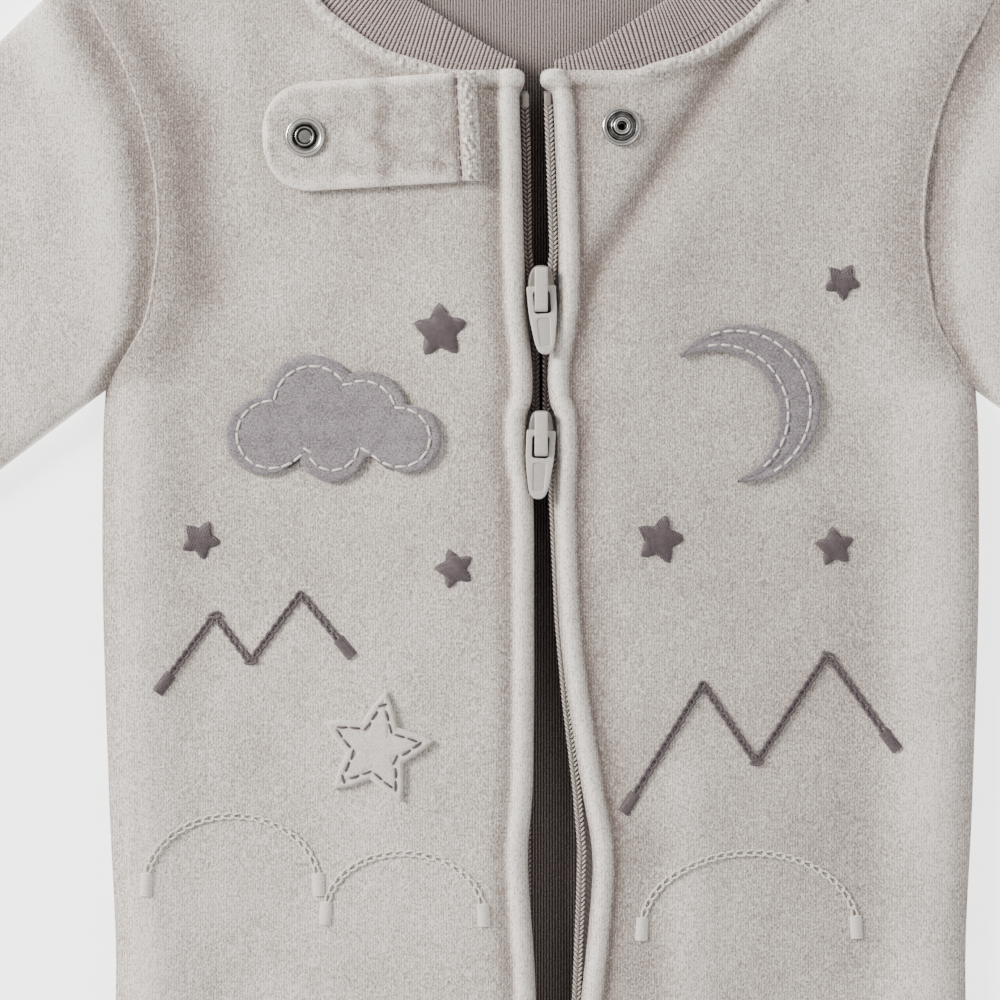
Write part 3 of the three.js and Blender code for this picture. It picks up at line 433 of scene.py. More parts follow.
def bend_grid(mesh, across, along, shape, size):
    """Adds a grid to a mesh and bends it by shape, which turns shares into x, y, z in mm and the painted light and
    shade.
    """
    uv_map = mesh.loops.layers.uv.verify()
    painted_light_layer = mesh.verts.layers.float.get("pile") or mesh.verts.layers.float.new("pile")
    columns, rows = len(across) - 1, len(along) - 1
    made = bmesh.ops.create_grid(mesh, x_segments=columns, y_segments=rows, size=0.5, calc_uvs=True)
    grid = made["verts"]
    flat = np.array([vertex.co.xy for vertex in grid]) + 0.5
    u = across[np.rint(flat[:, 0] * columns).astype(int)]
    v = along[np.rint(flat[:, 1] * rows).astype(int)]
    x, y, z, *pile = shape(u, v)
    pile = pile[0] if pile else 0 * x
    # lean carries the painted light and shade of each point
    for vertex, px, py, pz, lean in zip(grid, x, y, z, pile):
        vertex.co = (px * MM, (py + RISE) * MM, pz * MM)
        vertex[painted_light_layer] = lean
    for face in {face for vertex in grid for face in vertex.link_faces}:
        for corner in face.loops:
            place = corner[uv_map].uv
            column, row = round(place.x * columns), round(place.y * rows)
            corner[uv_map].uv = (across[column] * size[0] * MM, along[row] * size[1] * MM)
    return grid


def cloth(name, across, along, shape, size, sewn=False):
    """A piece of cloth from one grid. One that is sewn is a tube, and its open ends stay open."""
    mesh = bmesh.new()
    bend_grid(mesh, across, along, shape, size)
    if sewn:
        bmesh.ops.remove_doubles(mesh, verts=mesh.verts, dist=1e-6)
    return finish_mesh(name, mesh, upwards=not sewn)


def thicken(piece, thickness):
    """Gives cloth its thickness, below the face that is modelled."""
    solid = piece.modifiers.new("thickness", "SOLIDIFY")
    solid.thickness = thickness * MM
    solid.offset = -1


def close_ends(piece):
    """Fills the open ends of a tube."""
    mesh = bmesh.new()
    mesh.from_mesh(piece.data)
    ends = [edge for edge in mesh.edges if edge.is_boundary]
    bmesh.ops.holes_fill(mesh, edges=ends, sides=0)
    bmesh.ops.recalc_face_normals(mesh, faces=mesh.faces)
    mesh.to_mesh(piece.data)
    mesh.free()


def count_faces(piece):
    print(piece.name, len(piece.data.polygons), "faces")


def dressed(piece, material, body="garment"):
    """Gives a piece its material and the body that it moves with."""
    piece.data.materials.append(material)
    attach(piece, body)
    return piece


# %% [markdown]
# ## Shader tools
#
# Cloth, felt, thread and plastic are all drawn with noise and bands at their real scale. Coordinates are
# turned from metres into millimetres first, so a scale of 1 on a noise is a grain of about a millimetre.
# What several materials share is kept in groups that give only a tone and a height.

# %% Node helpers


def add_node(tree, kind, inputs=None, **settings):
    made = tree.nodes.new(kind)
    for key, value in settings.items():
        setattr(made, key, value)
    for key, value in (inputs or {}).items():
        if isinstance(value, bpy.types.NodeSocket):
            tree.links.new(value, made.inputs[key])
        else:
            made.inputs[key].default_value = value
    return made


def math_node(tree, operation, first, second, third=None):
    inputs = {0: first, 1: second}
    if third is not None:
        inputs[2] = third
    return add_node(tree, "ShaderNodeMath", inputs, operation=operation).outputs[0]


def add_scaled(tree, value, weight, base):
    """A value times its weight, added to a base."""
    return math_node(tree, "MULTIPLY_ADD", value, weight, base)


def scaled(tree, vector, scale):
    """Coordinates in new units, with a different scale along each axis if need be."""
    made = add_node(tree, "ShaderNodeMapping", {"Vector": vector, "Scale": scale})
    return made.outputs[0]


def noise(tree, vector, scale, detail=2.0, rough=0.5):
    inputs = {"Vector": vector, "Scale": scale, "Detail": detail, "Roughness": rough}
    return add_node(tree, "ShaderNodeTexNoise", inputs).outputs[0]


def bands(tree, vector, scale, direction, distortion=0.0):
    inputs = {"Vector": vector, "Scale": scale, "Distortion": distortion}
    inputs["Detail Scale"] = 2.0
    made = add_node(tree, "ShaderNodeTexWave", inputs, wave_type="BANDS", bands_direction=direction)
    return made.outputs["Fac"]


def new_group(name):
    """A node group that takes coordinates in millimetres and gives a tone and a height."""
    group = bpy.data.node_groups.new(name, "ShaderNodeTree")
    group.interface.new_socket("Vector", in_out="INPUT", socket_type="NodeSocketVector")
    group.interface.new_socket("Tone", in_out="OUTPUT", socket_type="NodeSocketFloat")
    group.interface.new_socket("Height", in_out="OUTPUT", socket_type="NodeSocketFloat")
    source = group.nodes.new("NodeGroupInput").outputs[0]
    return group, source


def close_group(group, tone, height):
    made = group.nodes.new("NodeGroupOutput")
    group.links.new(tone, made.inputs["Tone"])
    group.links.new(height, made.inputs["Height"])


def paint(red, green, blue):
    """A colour as a screen shows it, from 0 to 255, turned into the light that it reflects."""
    return tuple(math.pow(value / 255, 2.2) for value in (red, green, blue)) + (1.0,)


def surface(name, group, tones, bump, roughness, **fixed):
    """A material: a group's tone and the mesh's painted light and shade, coloured between two or more paints, and its
    height as bumps.
    """
    material = bpy.data.materials.new(name)
    material.use_nodes = True
    tree = material.node_tree
    shader = tree.nodes["Principled BSDF"]
    places = add_node(tree, "ShaderNodeTexCoord").outputs["Object"]
    in_mm = scaled(tree, places, (1000, 1000, 1000))
    texture = tree.nodes.new("ShaderNodeGroup")
    texture.node_tree = group
    tree.links.new(in_mm, texture.inputs["Vector"])
    # The painted light and shade of the mesh lightens or darkens the tone
    pile = add_node(tree, "ShaderNodeAttribute", attribute_name="pile").outputs["Fac"]
    tone = math_node(tree, "ADD", texture.outputs["Tone"], pile)
    ramp = add_node(tree, "ShaderNodeValToRGB", {"Fac": tone})
    steps = ramp.color_ramp.elements
    while len(steps) < len(tones):
        steps.new(0.5)
    for step, (place, colour) in zip(steps, tones):
        step.position = place
        step.color = paint(*colour)
    heights = {"Height": texture.outputs["Height"], "Distance": bump * MM, "Strength": 1.0}
    normal = add_node(tree, "ShaderNodeBump", heights)
    tree.links.new(ramp.outputs["Color"], shader.inputs["Base Color"])
    tree.links.new(normal.outputs["Normal"], shader.inputs["Normal"])
    shader.inputs["Roughness"].default_value = roughness
    for key, value in fixed.items():
        shader.inputs[key.replace("_", " ").title().replace("Ior", "IOR")].default_value = value
    return material


print("node helpers ready")

# %% [markdown]
# ## Materials
#
# **Velour** is a cut pile about a millimetre deep. It is matt, with a fine grain, faint streaks along the nap
# and soft clouds where the pile leans another way. Its edges catch a little more light, which is the sheen.
# The inside is a plain knit with fine upright wales.
#
# **Rib** shows fine loops between the ribs, which are real shapes. **Felt** is a short mottled fuzz.
# **Thread** is shiny rayon with a twist. The **tape** is a herringbone weave, and the **plastic** of the
# sliders is moulded, with a faint orange peel. The **snaps** are plated steel, brushed round by wear.

# %% Cloth groups
velour_nap, place = new_group("velour nap")
wales = bands(velour_nap, place, 0.43, "X", 1.5)
grain = noise(velour_nap, scaled(velour_nap, place, (2.2, 1.5, 2.2)), 1.0, 2.0, 0.6)
streaks = noise(velour_nap, scaled(velour_nap, place, (1.3, 0.7, 1.0)), 1.0, 2.0, 0.6)
clumps = noise(velour_nap, scaled(velour_nap, place, (0.34, 0.24, 0.34)), 1.0, 2.0, 0.6)
clouds = noise(velour_nap, scaled(velour_nap, place, (0.06, 0.045, 0.06)), 1.0, 3.0, 0.65)
wale_tone = add_scaled(velour_nap, wales, 0.24, -1.13)
fine_tone = add_scaled(velour_nap, grain, 2.1, wale_tone)
streak_tone = add_scaled(velour_nap, streaks, 0.55, fine_tone)
clump_tone = add_scaled(velour_nap, clumps, 0.16, streak_tone)
nap_tone = add_scaled(velour_nap, clouds, 0.34, clump_tone)
fine_height = math_node(velour_nap, "MULTIPLY", grain, 0.6)
nap_height = add_scaled(velour_nap, streaks, 0.45, fine_height)
clump_height = add_scaled(velour_nap, clumps, 0.45, nap_height)
close_group(velour_nap, nap_tone, clump_height)

plain_knit, place = new_group("plain knit")
wales = bands(plain_knit, place, 0.385, "X", 0.3)
loops = noise(plain_knit, scaled(plain_knit, place, (2.4, 2.0, 1.0)), 1.0, 2.0)
knit_tone = add_scaled(plain_knit, wales, 0.55, add_scaled(plain_knit, loops, 0.9, -0.25))
close_group(plain_knit, knit_tone, knit_tone)

rib_loops, place = new_group("rib loops")
across_rib = bands(rib_loops, place, 0.42, "Y", 0.6)
fuzz = noise(rib_loops, place, 2.4, 2.0)
rib_tone = add_scaled(rib_loops, across_rib, 0.12, math_node(rib_loops, "MULTIPLY", fuzz, 0.8))
close_group(rib_loops, rib_tone, rib_tone)

felt_fuzz, place = new_group("felt fuzz")
fibres = noise(felt_fuzz, place, 2.0, 3.0, 0.7)
patches = noise(felt_fuzz, place, 0.22, 2.0)
felt_tone = add_scaled(felt_fuzz, fibres, 1.6, add_scaled(felt_fuzz, patches, 0.3, -0.45))
close_group(felt_fuzz, felt_tone, fibres)

tape_weave, place = new_group("tape weave")
leaning = bands(tape_weave, place, 0.33, "DIAGONAL", 0.2)
upright = bands(tape_weave, place, 0.55, "X", 0.2)
weave = add_scaled(tape_weave, leaning, 0.5, math_node(tape_weave, "MULTIPLY", upright, 0.5))
close_group(tape_weave, weave, weave)

thread_twist, place = new_group("thread twist")
twist = bands(thread_twist, place, 0.9, "DIAGONAL", 0.8)
lustre = noise(thread_twist, place, 0.8, 1.0)
thread_tone = add_scaled(thread_twist, twist, 0.5, math_node(thread_twist, "MULTIPLY", lustre, 0.5))
close_group(thread_twist, thread_tone, twist)

moulded, place = new_group("moulded skin")
peel = noise(moulded, place, 1.1, 2.0)
scuffs = noise(moulded, scaled(moulded, place, (0.6, 3.5, 0.6)), 1.0, 3.0, 0.7)
skin_tone = add_scaled(moulded, scuffs, 0.5, math_node(moulded, "MULTIPLY", peel, 0.5))
close_group(moulded, skin_tone, peel)

plated, place = new_group("plated steel")
brushing = noise(plated, scaled(plated, place, (5, 5, 1)), 1.0, 3.0, 0.7)
stains = noise(plated, place, 0.5, 2.0)
steel_tone = add_scaled(plated, brushing, 0.5, math_node(plated, "MULTIPLY", stains, 0.5))
close_group(plated, steel_tone, brushing)
print("node groups", len(bpy.data.node_groups))

# %% The materials
CLOTH_SHEEN = {"sheen_weight": 0.35, "sheen_roughness": 0.5, "specular_ior_level": 0.15}
velour = surface(
    "velour", velour_nap,
    [
        (0.0, (126, 112, 105)), (0.3, (158, 146, 138)), (0.55, (186, 175, 166)),
        (0.8, (214, 205, 196)), (1.0, (240, 233, 224)),
    ],
    0.42, 0.95, **CLOTH_SHEEN,
)
inside_knit = surface(
    "inside_knit", plain_knit,
    [(0.0, (50, 40, 37)), (0.3, (104, 93, 89)), (0.8, (178, 166, 161))],
    0.25, 0.95, **CLOTH_SHEEN,
)
rib = surface(
    "rib", rib_loops,
    [(0.0, (70, 56, 54)), (0.35, (166, 152, 149)), (0.8, (220, 207, 203))],
    0.12, 0.92, **CLOTH_SHEEN,
)
grey_felt = surface(
    "grey_felt", felt_fuzz, [(0.25, (96, 88, 92)), (0.75, (160, 151, 155))],
    0.3, 0.95, **CLOTH_SHEEN,
)
cream_felt = surface(
    "cream_felt", felt_fuzz, [(0.25, (190, 181, 173)), (0.75, (236, 229, 220))],
    0.3, 0.95, **CLOTH_SHEEN,
)
tape_cloth = surface(
    "tape_cloth", tape_weave, [(0.1, (118, 108, 104)), (0.8, (160, 150, 146))],
    0.15, 0.9, **CLOTH_SHEEN,
)
THREAD_GLOSS = {"specular_ior_level": 0.5, "sheen_weight": 0.2}
COIL_GLOSS = {"specular_ior_level": 0.5}
# Name, dark and light paint, depth of the bumps, roughness and gloss
THREADS = [
    ("dark_thread", (62, 51, 54), (102, 89, 92), 0.1, 0.5, THREAD_GLOSS),
    ("cream_thread", (214, 205, 196), (244, 238, 230), 0.1, 0.5, THREAD_GLOSS),
    ("matching_thread", (150, 139, 135), (192, 183, 178), 0.1, 0.6, THREAD_GLOSS),
    # Cores and coils in shaded and lit copies: painted shade and painted light
    ("shaded_core", (46, 38, 36), (66, 57, 54), 0.05, 0.5, {}),
    ("light_core", (104, 94, 90), (134, 124, 119), 0.05, 0.5, {}),
    ("coil_dark", (96, 85, 81), (134, 122, 117), 0.05, 0.4, COIL_GLOSS),
    ("coil_shaded", (58, 49, 46), (88, 77, 73), 0.05, 0.4, COIL_GLOSS),
    ("coil_light", (160, 150, 143), (192, 182, 175), 0.05, 0.4, COIL_GLOSS),
]
(
    dark_thread, cream_thread, matching_thread, shaded_core, light_core, coil_dark, coil_shaded, coil_light,
) = [
    surface(name, thread_twist, [(0.2, dark), (0.75, light)], bump, roughness, **gloss)
    for name, dark, light, bump, roughness, gloss in THREADS
]
plastic = surface(
    "plastic", moulded, [(0.2, (176, 169, 162)), (0.8, (200, 194, 187))],
    0.03, 0.38, specular_ior_level=0.5, coat_weight=0.15, coat_roughness=0.3,
)
# The sliders' plastic painted darker as shade, for the slider bodies and the zip stops
body_plastic = surface(
    "body_plastic", moulded, [(0.2, (112, 105, 99)), (0.8, (138, 131, 124))],
    0.03, 0.4, specular_ior_level=0.5,
)
# Near black, for a dark sheet that stands for the shade under the pull's slot
recess_plastic = surface(
    "recess_plastic", moulded, [(0.2, (38, 33, 31)), (0.8, (54, 48, 45))], 0.03, 0.7,
)
# The pull's plastic a little darker, as painted shade, for its recessed panel
panel_plastic = surface(
    "panel_plastic", moulded, [(0.2, (160, 153, 147)), (0.8, (186, 180, 173))],
    0.05, 0.5, specular_ior_level=0.5,
)
steel = surface(
    "steel", plated, [(0.0, (34, 31, 30)), (0.3, (176, 172, 168)), (0.8, (232, 229, 225))],
    0.02, 0.24, metallic=1.0,
)
print("materials", len(bpy.data.materials))

# %% [markdown]
# ## Back
#
# The back is one panel, with its inside up in the neck and in the open zip. Little light reaches deep into
# the body, so shade is painted into the knit there as a darker tone. The panel is made as two halves that meet
# on the centre line down to the crotch. Rows start as the curve of the neck and the shoulder, and straighten
# towards the chest, so that the upper edge follows the seam exactly.

# %% Plan of a half panel
STRAIGHT_BELOW = -95


def centre_height(side_height, centre_top):
    climb = (side_height - UNDERARM) / (SHOULDER[1] - UNDERARM)
    raised = UNDERARM + (centre_top - UNDERARM) * climb
    return np.where(side_height < UNDERARM, side_height, raised)


def half_plan(side, top_line, centre_top, centre_x, across, side_height):
    """The place of points on a half panel: shares from the centre to the side, and heights at the side."""
    height = centre_height(side_height, centre_top)
    inner_x = centre_x(height)
    outer_x = across_line(side.side_line, side_height)
    top_share = smooth(height, STRAIGHT_BELOW, centre_top)
    (start_x, start_y), (end_x, end_y) = top_line[0], top_line[-1]
    curve_x, curve_y = line_point(top_line, across)
    bow_x = curve_x - (start_x + (end_x - start_x) * across)
    bow_y = curve_y - (start_y + (end_y - start_y) * across)
    # Only the outer columns follow the armhole inwards, so the steep neck is not folded over
    x = inner_x + (end_x - inner_x) * across + (outer_x - end_x) * across**3 + bow_x * top_share
    y = height + (side_height - height) * across + bow_y * top_share
    return x, y


def back_height(side, x, y):
    rim = 0.6 * (1 - smooth(seam_distance(side, x, y), 0, 8))
    return WALL + rim + 0.1 * waves(x, y, 6, 14, 40, 21)


BODY_WIDTH = 122
BODY_LENGTH = 575
back_across = spread(60, [0, 0.85, 1], [0, 0.93, 1])
back_along = spread(190, [0, 0.6, 1], [0, 0.44, 1])
back_mesh = bmesh.new()
for side in (LEFT, RIGHT):

    def back_half(u, v, side=side):
        side_height = SHOULDER[1] + (HEM - SHOULDER[1]) * v

        def centre_x(height):
            legs = across_line(side.inseam_line, np.minimum(height, CROTCH))
            return np.where(height > CROTCH, 0.0, legs)

        x, y = half_plan(side, side.back_top, BACK_NECK_CENTRE, centre_x, u, side_height)
        # Painted shade on the inside of the back, none in the neck and most under the chest
        shade = (0.28 + 0.1 * smooth(y, -230, -130)) * (1 - smooth(y, -34, -12))
        return x, y, back_height(side, x, y), -shade

    bend_grid(back_mesh, back_across, back_along, back_half, (BODY_WIDTH, BODY_LENGTH))
bmesh.ops.remove_doubles(back_mesh, verts=back_mesh.verts, dist=1e-5)
bmesh.ops.recalc_face_normals(back_mesh, faces=back_mesh.faces)
back = finish_mesh("back_cloth", back_mesh, upwards=True)
thicken(back, WALL - 0.2)
dressed(back, inside_knit)
back.data.materials.append(velour)
back.modifiers["thickness"].material_offset = 1
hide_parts("back")
count_faces(back)

# %% [markdown]
# ## Fronts
#
# Each front reaches from the folded edge beside the zip to the armhole and the side seam. The columns stand
# close together at the folded edge, where the cloth rolls over in a few millimetres, and the rows stand
# closer in the upper half, which is seen from near.

# %% The two fronts
front_across = spread(112, [0, 0.2, 0.88, 1], [0, 0.075, 0.94, 1])
front_along = spread(310, [0, 0.1, 0.82, 1], [0, 0.045, 0.54, 1])
for side, node in ((LEFT, "front_left"), (RIGHT, "front_right")):

    def front_shape(u, v, side=side):
        side_height = SHOULDER[1] + (HEM - SHOULDER[1]) * v

        def edge_x(height):
            legs = across_line(side.inseam_line, np.minimum(height, CROTCH))
            return np.where(height > CROTCH, across_line(side.zip_line, np.maximum(height, CROTCH)), legs)

        x, y = half_plan(side, side.front_top, ZIP_TOP, edge_x, u, side_height)
        return x, y, *front_surface(side, x, y)

    front = cloth(node + "_cloth", front_across, front_along, front_shape, (BODY_WIDTH, BODY_LENGTH))
    thicken(front, WALL)
    dressed(front, velour)
    front.data.materials.append(inside_knit)
    front.modifiers["thickness"].material_offset = 0
    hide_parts(node)
    count_faces(front)

# %% [markdown]
# ## Sleeves
#
# A sleeve is one tube, pressed flat. Its head is sewn into the armhole and stands a little higher than the
# front there, so the seam lies in the valley between them.

# %% The sleeves
CUFF_UPPER = (302, -158)
CUFF_LOWER = (252.5, -207.5)
SLEEVE_SHARES = [0, 0.016, 0.036, 0.06, 0.1, 0.2, 0.45, 1]
SLEEVE_HEIGHTS = [8.3, 8.5, 9.9, 10.7, 10.4, 9.4, 7.4, 6.6]
SLEEVE_MIDDLE = 3.3
SLEEVE_FULLNESS = 0.45
SLEEVE_UNDER_REACH = 1.2
TUCK = 1.0
SLEEVE_FOLDS = [(150, -70, 190, -95, 9, -0.9), (158, -45, 200, -120, 10, 0.5)]


def sleeve_plan(side, across, share):
    """The place of points of a sleeve seen from above, from its upper fold to its lower one."""
    top = SHOULDER[1]
    y = top + (UNDERARM - top) * across
    armhole_x = across_line(mirrored(side.armhole_line, side.sign), y) - TUCK
    start_x = SHOULDER[0] + (ARMHOLE[-1][0] - SHOULDER[0]) * across + SEAM_GAP
    upper_x = SHOULDER[0] + SEAM_GAP + (CUFF_UPPER[0] - SHOULDER[0] - SEAM_GAP) * share
    lower_x = ARMHOLE[-1][0] + SEAM_GAP + (CUFF_LOWER[0] - ARMHOLE[-1][0] - SEAM_GAP) * share
    upper_y = top + (CUFF_UPPER[1] - top) * share
    lower_y = UNDERARM + (CUFF_LOWER[1] - UNDERARM) * share
    x = upper_x + (lower_x - upper_x) * across + (1 - share) ** 2 * (armhole_x - start_x)
    return side.sign * x, upper_y + (lower_y - upper_y) * across


sleeve_around = np.linspace(0, 1, 145)
sleeve_along = spread(110, [0, 0.5, 1], [0, 0.3, 1])
for side, node in ((LEFT, "sleeve_left"), (RIGHT, "sleeve_right")):

    def sleeve_shape(u, v, side=side):
        turn = 2 * math.pi * u
        x, y = sleeve_plan(side, 0.5 - 0.5 * np.cos(turn), v)
        head = soft_table(v, SLEEVE_SHARES, SLEEVE_HEIGHTS, 0.007) - SLEEVE_MIDDLE
        lift = np.abs(np.sin(turn)) ** SLEEVE_FULLNESS
        fold = 0.25 * waves(np.abs(x), y, 7, 16, 45, 31)
        for ax, ay, bx, by, width, rise in SLEEVE_FOLDS:
            fold += rise * np.exp(-((line_distance([(ax, ay), (bx, by)], np.abs(x), y) / width) ** 2))
        over = SLEEVE_MIDDLE + head * lift + fold * lift
        under = np.maximum(0.05, SLEEVE_MIDDLE * (1 - SLEEVE_UNDER_REACH * lift))
        # Painted shade in the valley beside the armhole seam, a painted highlight on the crest past it, lighter and
        # darker with the folds, and a little lighter all over
        valley = np.exp(-(((v - 0.02) / 0.026) ** 2))
        crest = np.exp(-(((v - 0.075) / 0.04) ** 2))
        pile = 0.12 + 0.14 * fold - 0.55 * valley + 0.25 * crest
        return x, y, np.where(np.sin(turn) < 0, under, over), pile

    sleeve = cloth(node + "_cloth", sleeve_around, sleeve_along, sleeve_shape, (290, 205), sewn=True)
    thicken(sleeve, WALL - 0.4)
    dressed(sleeve, velour)
    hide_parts(node)
    count_faces(sleeve)

# %% [markdown]
# ## Collar
#
# The neck is bound with a doubled band of rib. It lies flat along the front, turns over at each shoulder and
# lies flat along the back. The ribs run across the band, about one every 1.2 mm, and are real ridges. They
# crowd together a little at the free edge, because that edge is shorter than the seam.

# %% The rib band
# Seam x and y, free edge x and y, height of its middle, turn in degrees
COLLAR_HALF = [
    (15.3, -18.6, 13.6, -13.2, 9.3, 0),
    (24.5, -18.1, 21, -8.5, 8.7, 0),
    (33.7, -15.5, 30, -2.5, 8, 0),
    (44.2, -11.4, 37, 2, 7.2, 0),
    (54.1, -4.1, 44, 8, 6.5, 0),
    (61.2, 2.7, 50, 14, 5.9, 0),
    (70, 14.2, 57, 24, 5.5, 0),
    (72.2, 23.5, 62.4, 35.4, 5.2, 0),
    (73.8, 27.4, 64.6, 39, 4.6, 45),
    (74.2, 28, 65.2, 39.8, 3.25, 90),
    (73.8, 27.6, 64.7, 39.4, 1.85, 135),
    (71.4, 26.5, 62.8, 38.4, 1.3, 180),
    (65.4, 24.5, 58, 37.8, 1.3, 180),
    (49.7, 21.5, 45, 36.4, 1.3, 180),
    (25, 19.2, 23, 34.9, 1.3, 180),
]
COLLAR_CENTRE = (0, 18.6, 0, 34.6, 1.3, 180)
COLLAR_LEFT_END = (-6.9, -18.8, -6.5, -17, 9.6, 0)
COLLAR_RIGHT_END = (3.1, -18.8, 3.3, -17, 9.6, 0)
COLLAR_THICKNESS = 2.3
COLLAR_TUCK = 3.2
RIB_PITCH = 1.25
RIB_DEPTH = 0.3

flip = np.array([-1, 1, -1, 1, 1, 1])
collar_rows = np.array(
    [COLLAR_LEFT_END]
    + [tuple(np.array(row) * flip) for row in COLLAR_HALF]
    + [COLLAR_CENTRE]
    + COLLAR_HALF[::-1]
    + [COLLAR_RIGHT_END]
)
collar_line = smooth_line(collar_rows, 8)
collar_steps = line_steps(collar_line[:, :2])
collar_length = collar_steps[-1]
print("the band is", round(collar_length), "mm long at its seam")


def collar_at(share):
    """The columns of the table at shares of the band's length."""
    return [np.interp(share * collar_length, collar_steps, column) for column in collar_line.T]


def collar_point(share, across, up):
    """A point of the band, at shares along it and across from the seam, and millimetres above its middle."""
    seam_x, seam_y, free_x, free_y, z, turn = collar_at(share)
    dx, dy = free_x - seam_x, free_y - seam_y
    width = np.hypot(dx, dy)
    seam_x, seam_y = seam_x - dx / width * COLLAR_TUCK, seam_y - dy / width * COLLAR_TUCK
    dx, dy = free_x - seam_x, free_y - seam_y
    width = np.hypot(dx, dy)
    side_sign = np.where(share < 0.5, -1, 1)
    turn = np.radians(turn)
    x = seam_x + dx * across + side_sign * dy / width * np.sin(turn) * up
    y = seam_y + dy * across - side_sign * dx / width * np.sin(turn) * up
    return x, y, z + np.cos(turn) * up


def collar_shape(u, v):
    turn = 2 * math.pi * u
    across = 0.5 - 0.5 * np.cos(turn)
    level = np.sign(np.sin(turn)) * np.abs(np.sin(turn)) ** 0.4
    ribs = np.abs(np.sin(math.pi * v * collar_length / RIB_PITCH)) ** 1.4
    edge = smooth(across, 0.0, 0.12)
    up = level * (COLLAR_THICKNESS / 2 - RIB_DEPTH + RIB_DEPTH * ribs * edge)
    up = up + 0.12 * waves(v * collar_length, across * 14, 5, 12, 30, 44)
    # Painted shade in the grooves between the ribs
    groove = (1 - ribs) ** 1.6 * edge
    return *collar_point(v, across, up), -0.68 * groove


collar_grid = (np.linspace(0, 1, 29), np.linspace(0, 1, 1621))
collar = cloth("collar_rib", *collar_grid, collar_shape, (34, collar_length), sewn=True)
close_ends(collar)
dressed(collar, rib)
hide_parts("collar")
count_faces(collar)

# %% [markdown]
# ## Thread
#
# Every stitch is a short length of thread that bends into the cloth at its ends. A line of stitches is one
# curve object with a spline for each stitch, and each has only a few dozen faces. A chain stitch is a loop
# like a drop, and the next loop starts inside its head. Satin stitch is many threads side by side, which
# rise in the middle because they are packed over each other.

# %% Stitches


def thread_piece(name, splines, radius, material, closed=False):
    """One curve object of many short threads. Points are in millimetres of the pattern."""
    data = bpy.data.curves.new(name, "CURVE")
    data.dimensions = "3D"
    data.bevel_depth = radius * MM
    data.bevel_resolution = 1
    data.use_fill_caps = True
    for points in splines:
        points = np.asarray(points, float)
        spline = data.splines.new("POLY")
        spline.points.add(len(points) - 1)
        spline.use_smooth = True
        spline.use_cyclic_u = closed
        placed = np.column_stack([
            points[:, 0] * MM, (points[:, 1] + RISE) * MM, points[:, 2] * MM, np.ones(len(points)),
        ])
        spline.points.foreach_set("co", placed.ravel())
    piece = bpy.data.objects.new(name, data)
    bpy.context.scene.collection.objects.link(piece)
    return dressed(piece, material)


def spaced(line, step):
    """Points at even steps along a line, with the heading there."""
    line = np.asarray(line, float)
    steps = line_steps(line)
    count = max(1, int(round(steps[-1] / step)))
    places = (np.arange(count) + 0.5) / count
    x, y = line_point(line, places)
    ahead_x, ahead_y = line_point(line, np.minimum(places + 0.3 / count, 1))
    behind_x, behind_y = line_point(line, np.maximum(places - 0.3 / count, 0))
    return x, y, np.arctan2(ahead_y - behind_y, ahead_x - behind_x)


def running_stitches(line, length, gap, height_at, lift):
    """Straight stitches along a line, sunk at both ends."""
    splines = []
    x, y, heading = spaced(line, length + gap)
    for px, py, angle in zip(x, y, heading):
        reach = np.array([-0.5, -0.38, 0, 0.38, 0.5]) * length
        sx, sy = px + reach * math.cos(angle), py + reach * math.sin(angle)
        z = height_at(sx, sy) + np.array([-0.5, 0.6, 1, 0.6, -0.5]) * lift
        splines.append(np.column_stack([sx, sy, z]))
    return splines


def chain_stitches(line, height_at, pitch=2.8, width=2.3, lift=0.45):
    """Loops in a row. Each is a drop with its point inside the head of the one before."""
    splines = []
    x, y, heading = spaced(line, pitch)
    around = np.linspace(0, 2 * math.pi, 10, endpoint=False)
    reach = 0.5 * pitch * 1.3 * -np.cos(around)
    half = 0.5 * width * np.sin(around) * np.clip(0.62 - 0.38 * np.cos(around), 0, 1)
    for px, py, angle in zip(x, y, heading):
        sx = px + reach * math.cos(angle) - half * math.sin(angle)
        sy = py + reach * math.sin(angle) + half * math.cos(angle)
        rise = lift * (1 - 0.8 * (np.cos(around) > 0.8))
        splines.append(np.column_stack([sx, sy, height_at(sx, sy) + rise]))
    return splines


def satin_threads(outline, heading, pitch, height_at, crown):
    """Threads side by side, cut by an outline, which cross it at right angles to the heading."""
    outline = np.asarray(outline, float)
    turn = np.array([[math.cos(heading), math.sin(heading)], [-math.sin(heading), math.cos(heading)]])
    flat = outline @ turn.T
    splines = []
    for row in np.arange(flat[:, 0].min() + pitch / 2, flat[:, 0].max(), pitch):
        crossings = []
        for (ax, ay), (bx, by) in zip(flat, np.roll(flat, -1, axis=0)):
            if (ax - row) * (bx - row) < 0:
                crossings.append(ay + (by - ay) * (row - ax) / (bx - ax))
        crossings.sort()
        for low, high in zip(crossings[::2], crossings[1::2]):
            if high - low < 0.5:
                continue
            share = np.array([0, 0.12, 0.5, 0.88, 1])
            points = np.column_stack([np.full(5, row), low + (high - low) * share]) @ turn
            height = crown * min(1, (high - low) / 4)
            z = height_at(points[:, 0], points[:, 1]) + np.array([-0.1, 0.7, 1, 0.7, -0.1]) * height
            splines.append(np.column_stack([points, z]))
    return splines


def on_left(x, y):
    return front_height(LEFT, x, y)


def on_right(x, y):
    return front_height(RIGHT, x, y)


def bar_outline(x, y, heading, length, width):
    ahead = np.array([math.cos(heading), math.sin(heading)]) * length / 2
    aside = np.array([-math.sin(heading), math.cos(heading)]) * width / 2
    middle = np.array([x, y])
    return [middle + ahead + aside, middle + ahead - aside, middle - ahead - aside, middle - ahead + aside]


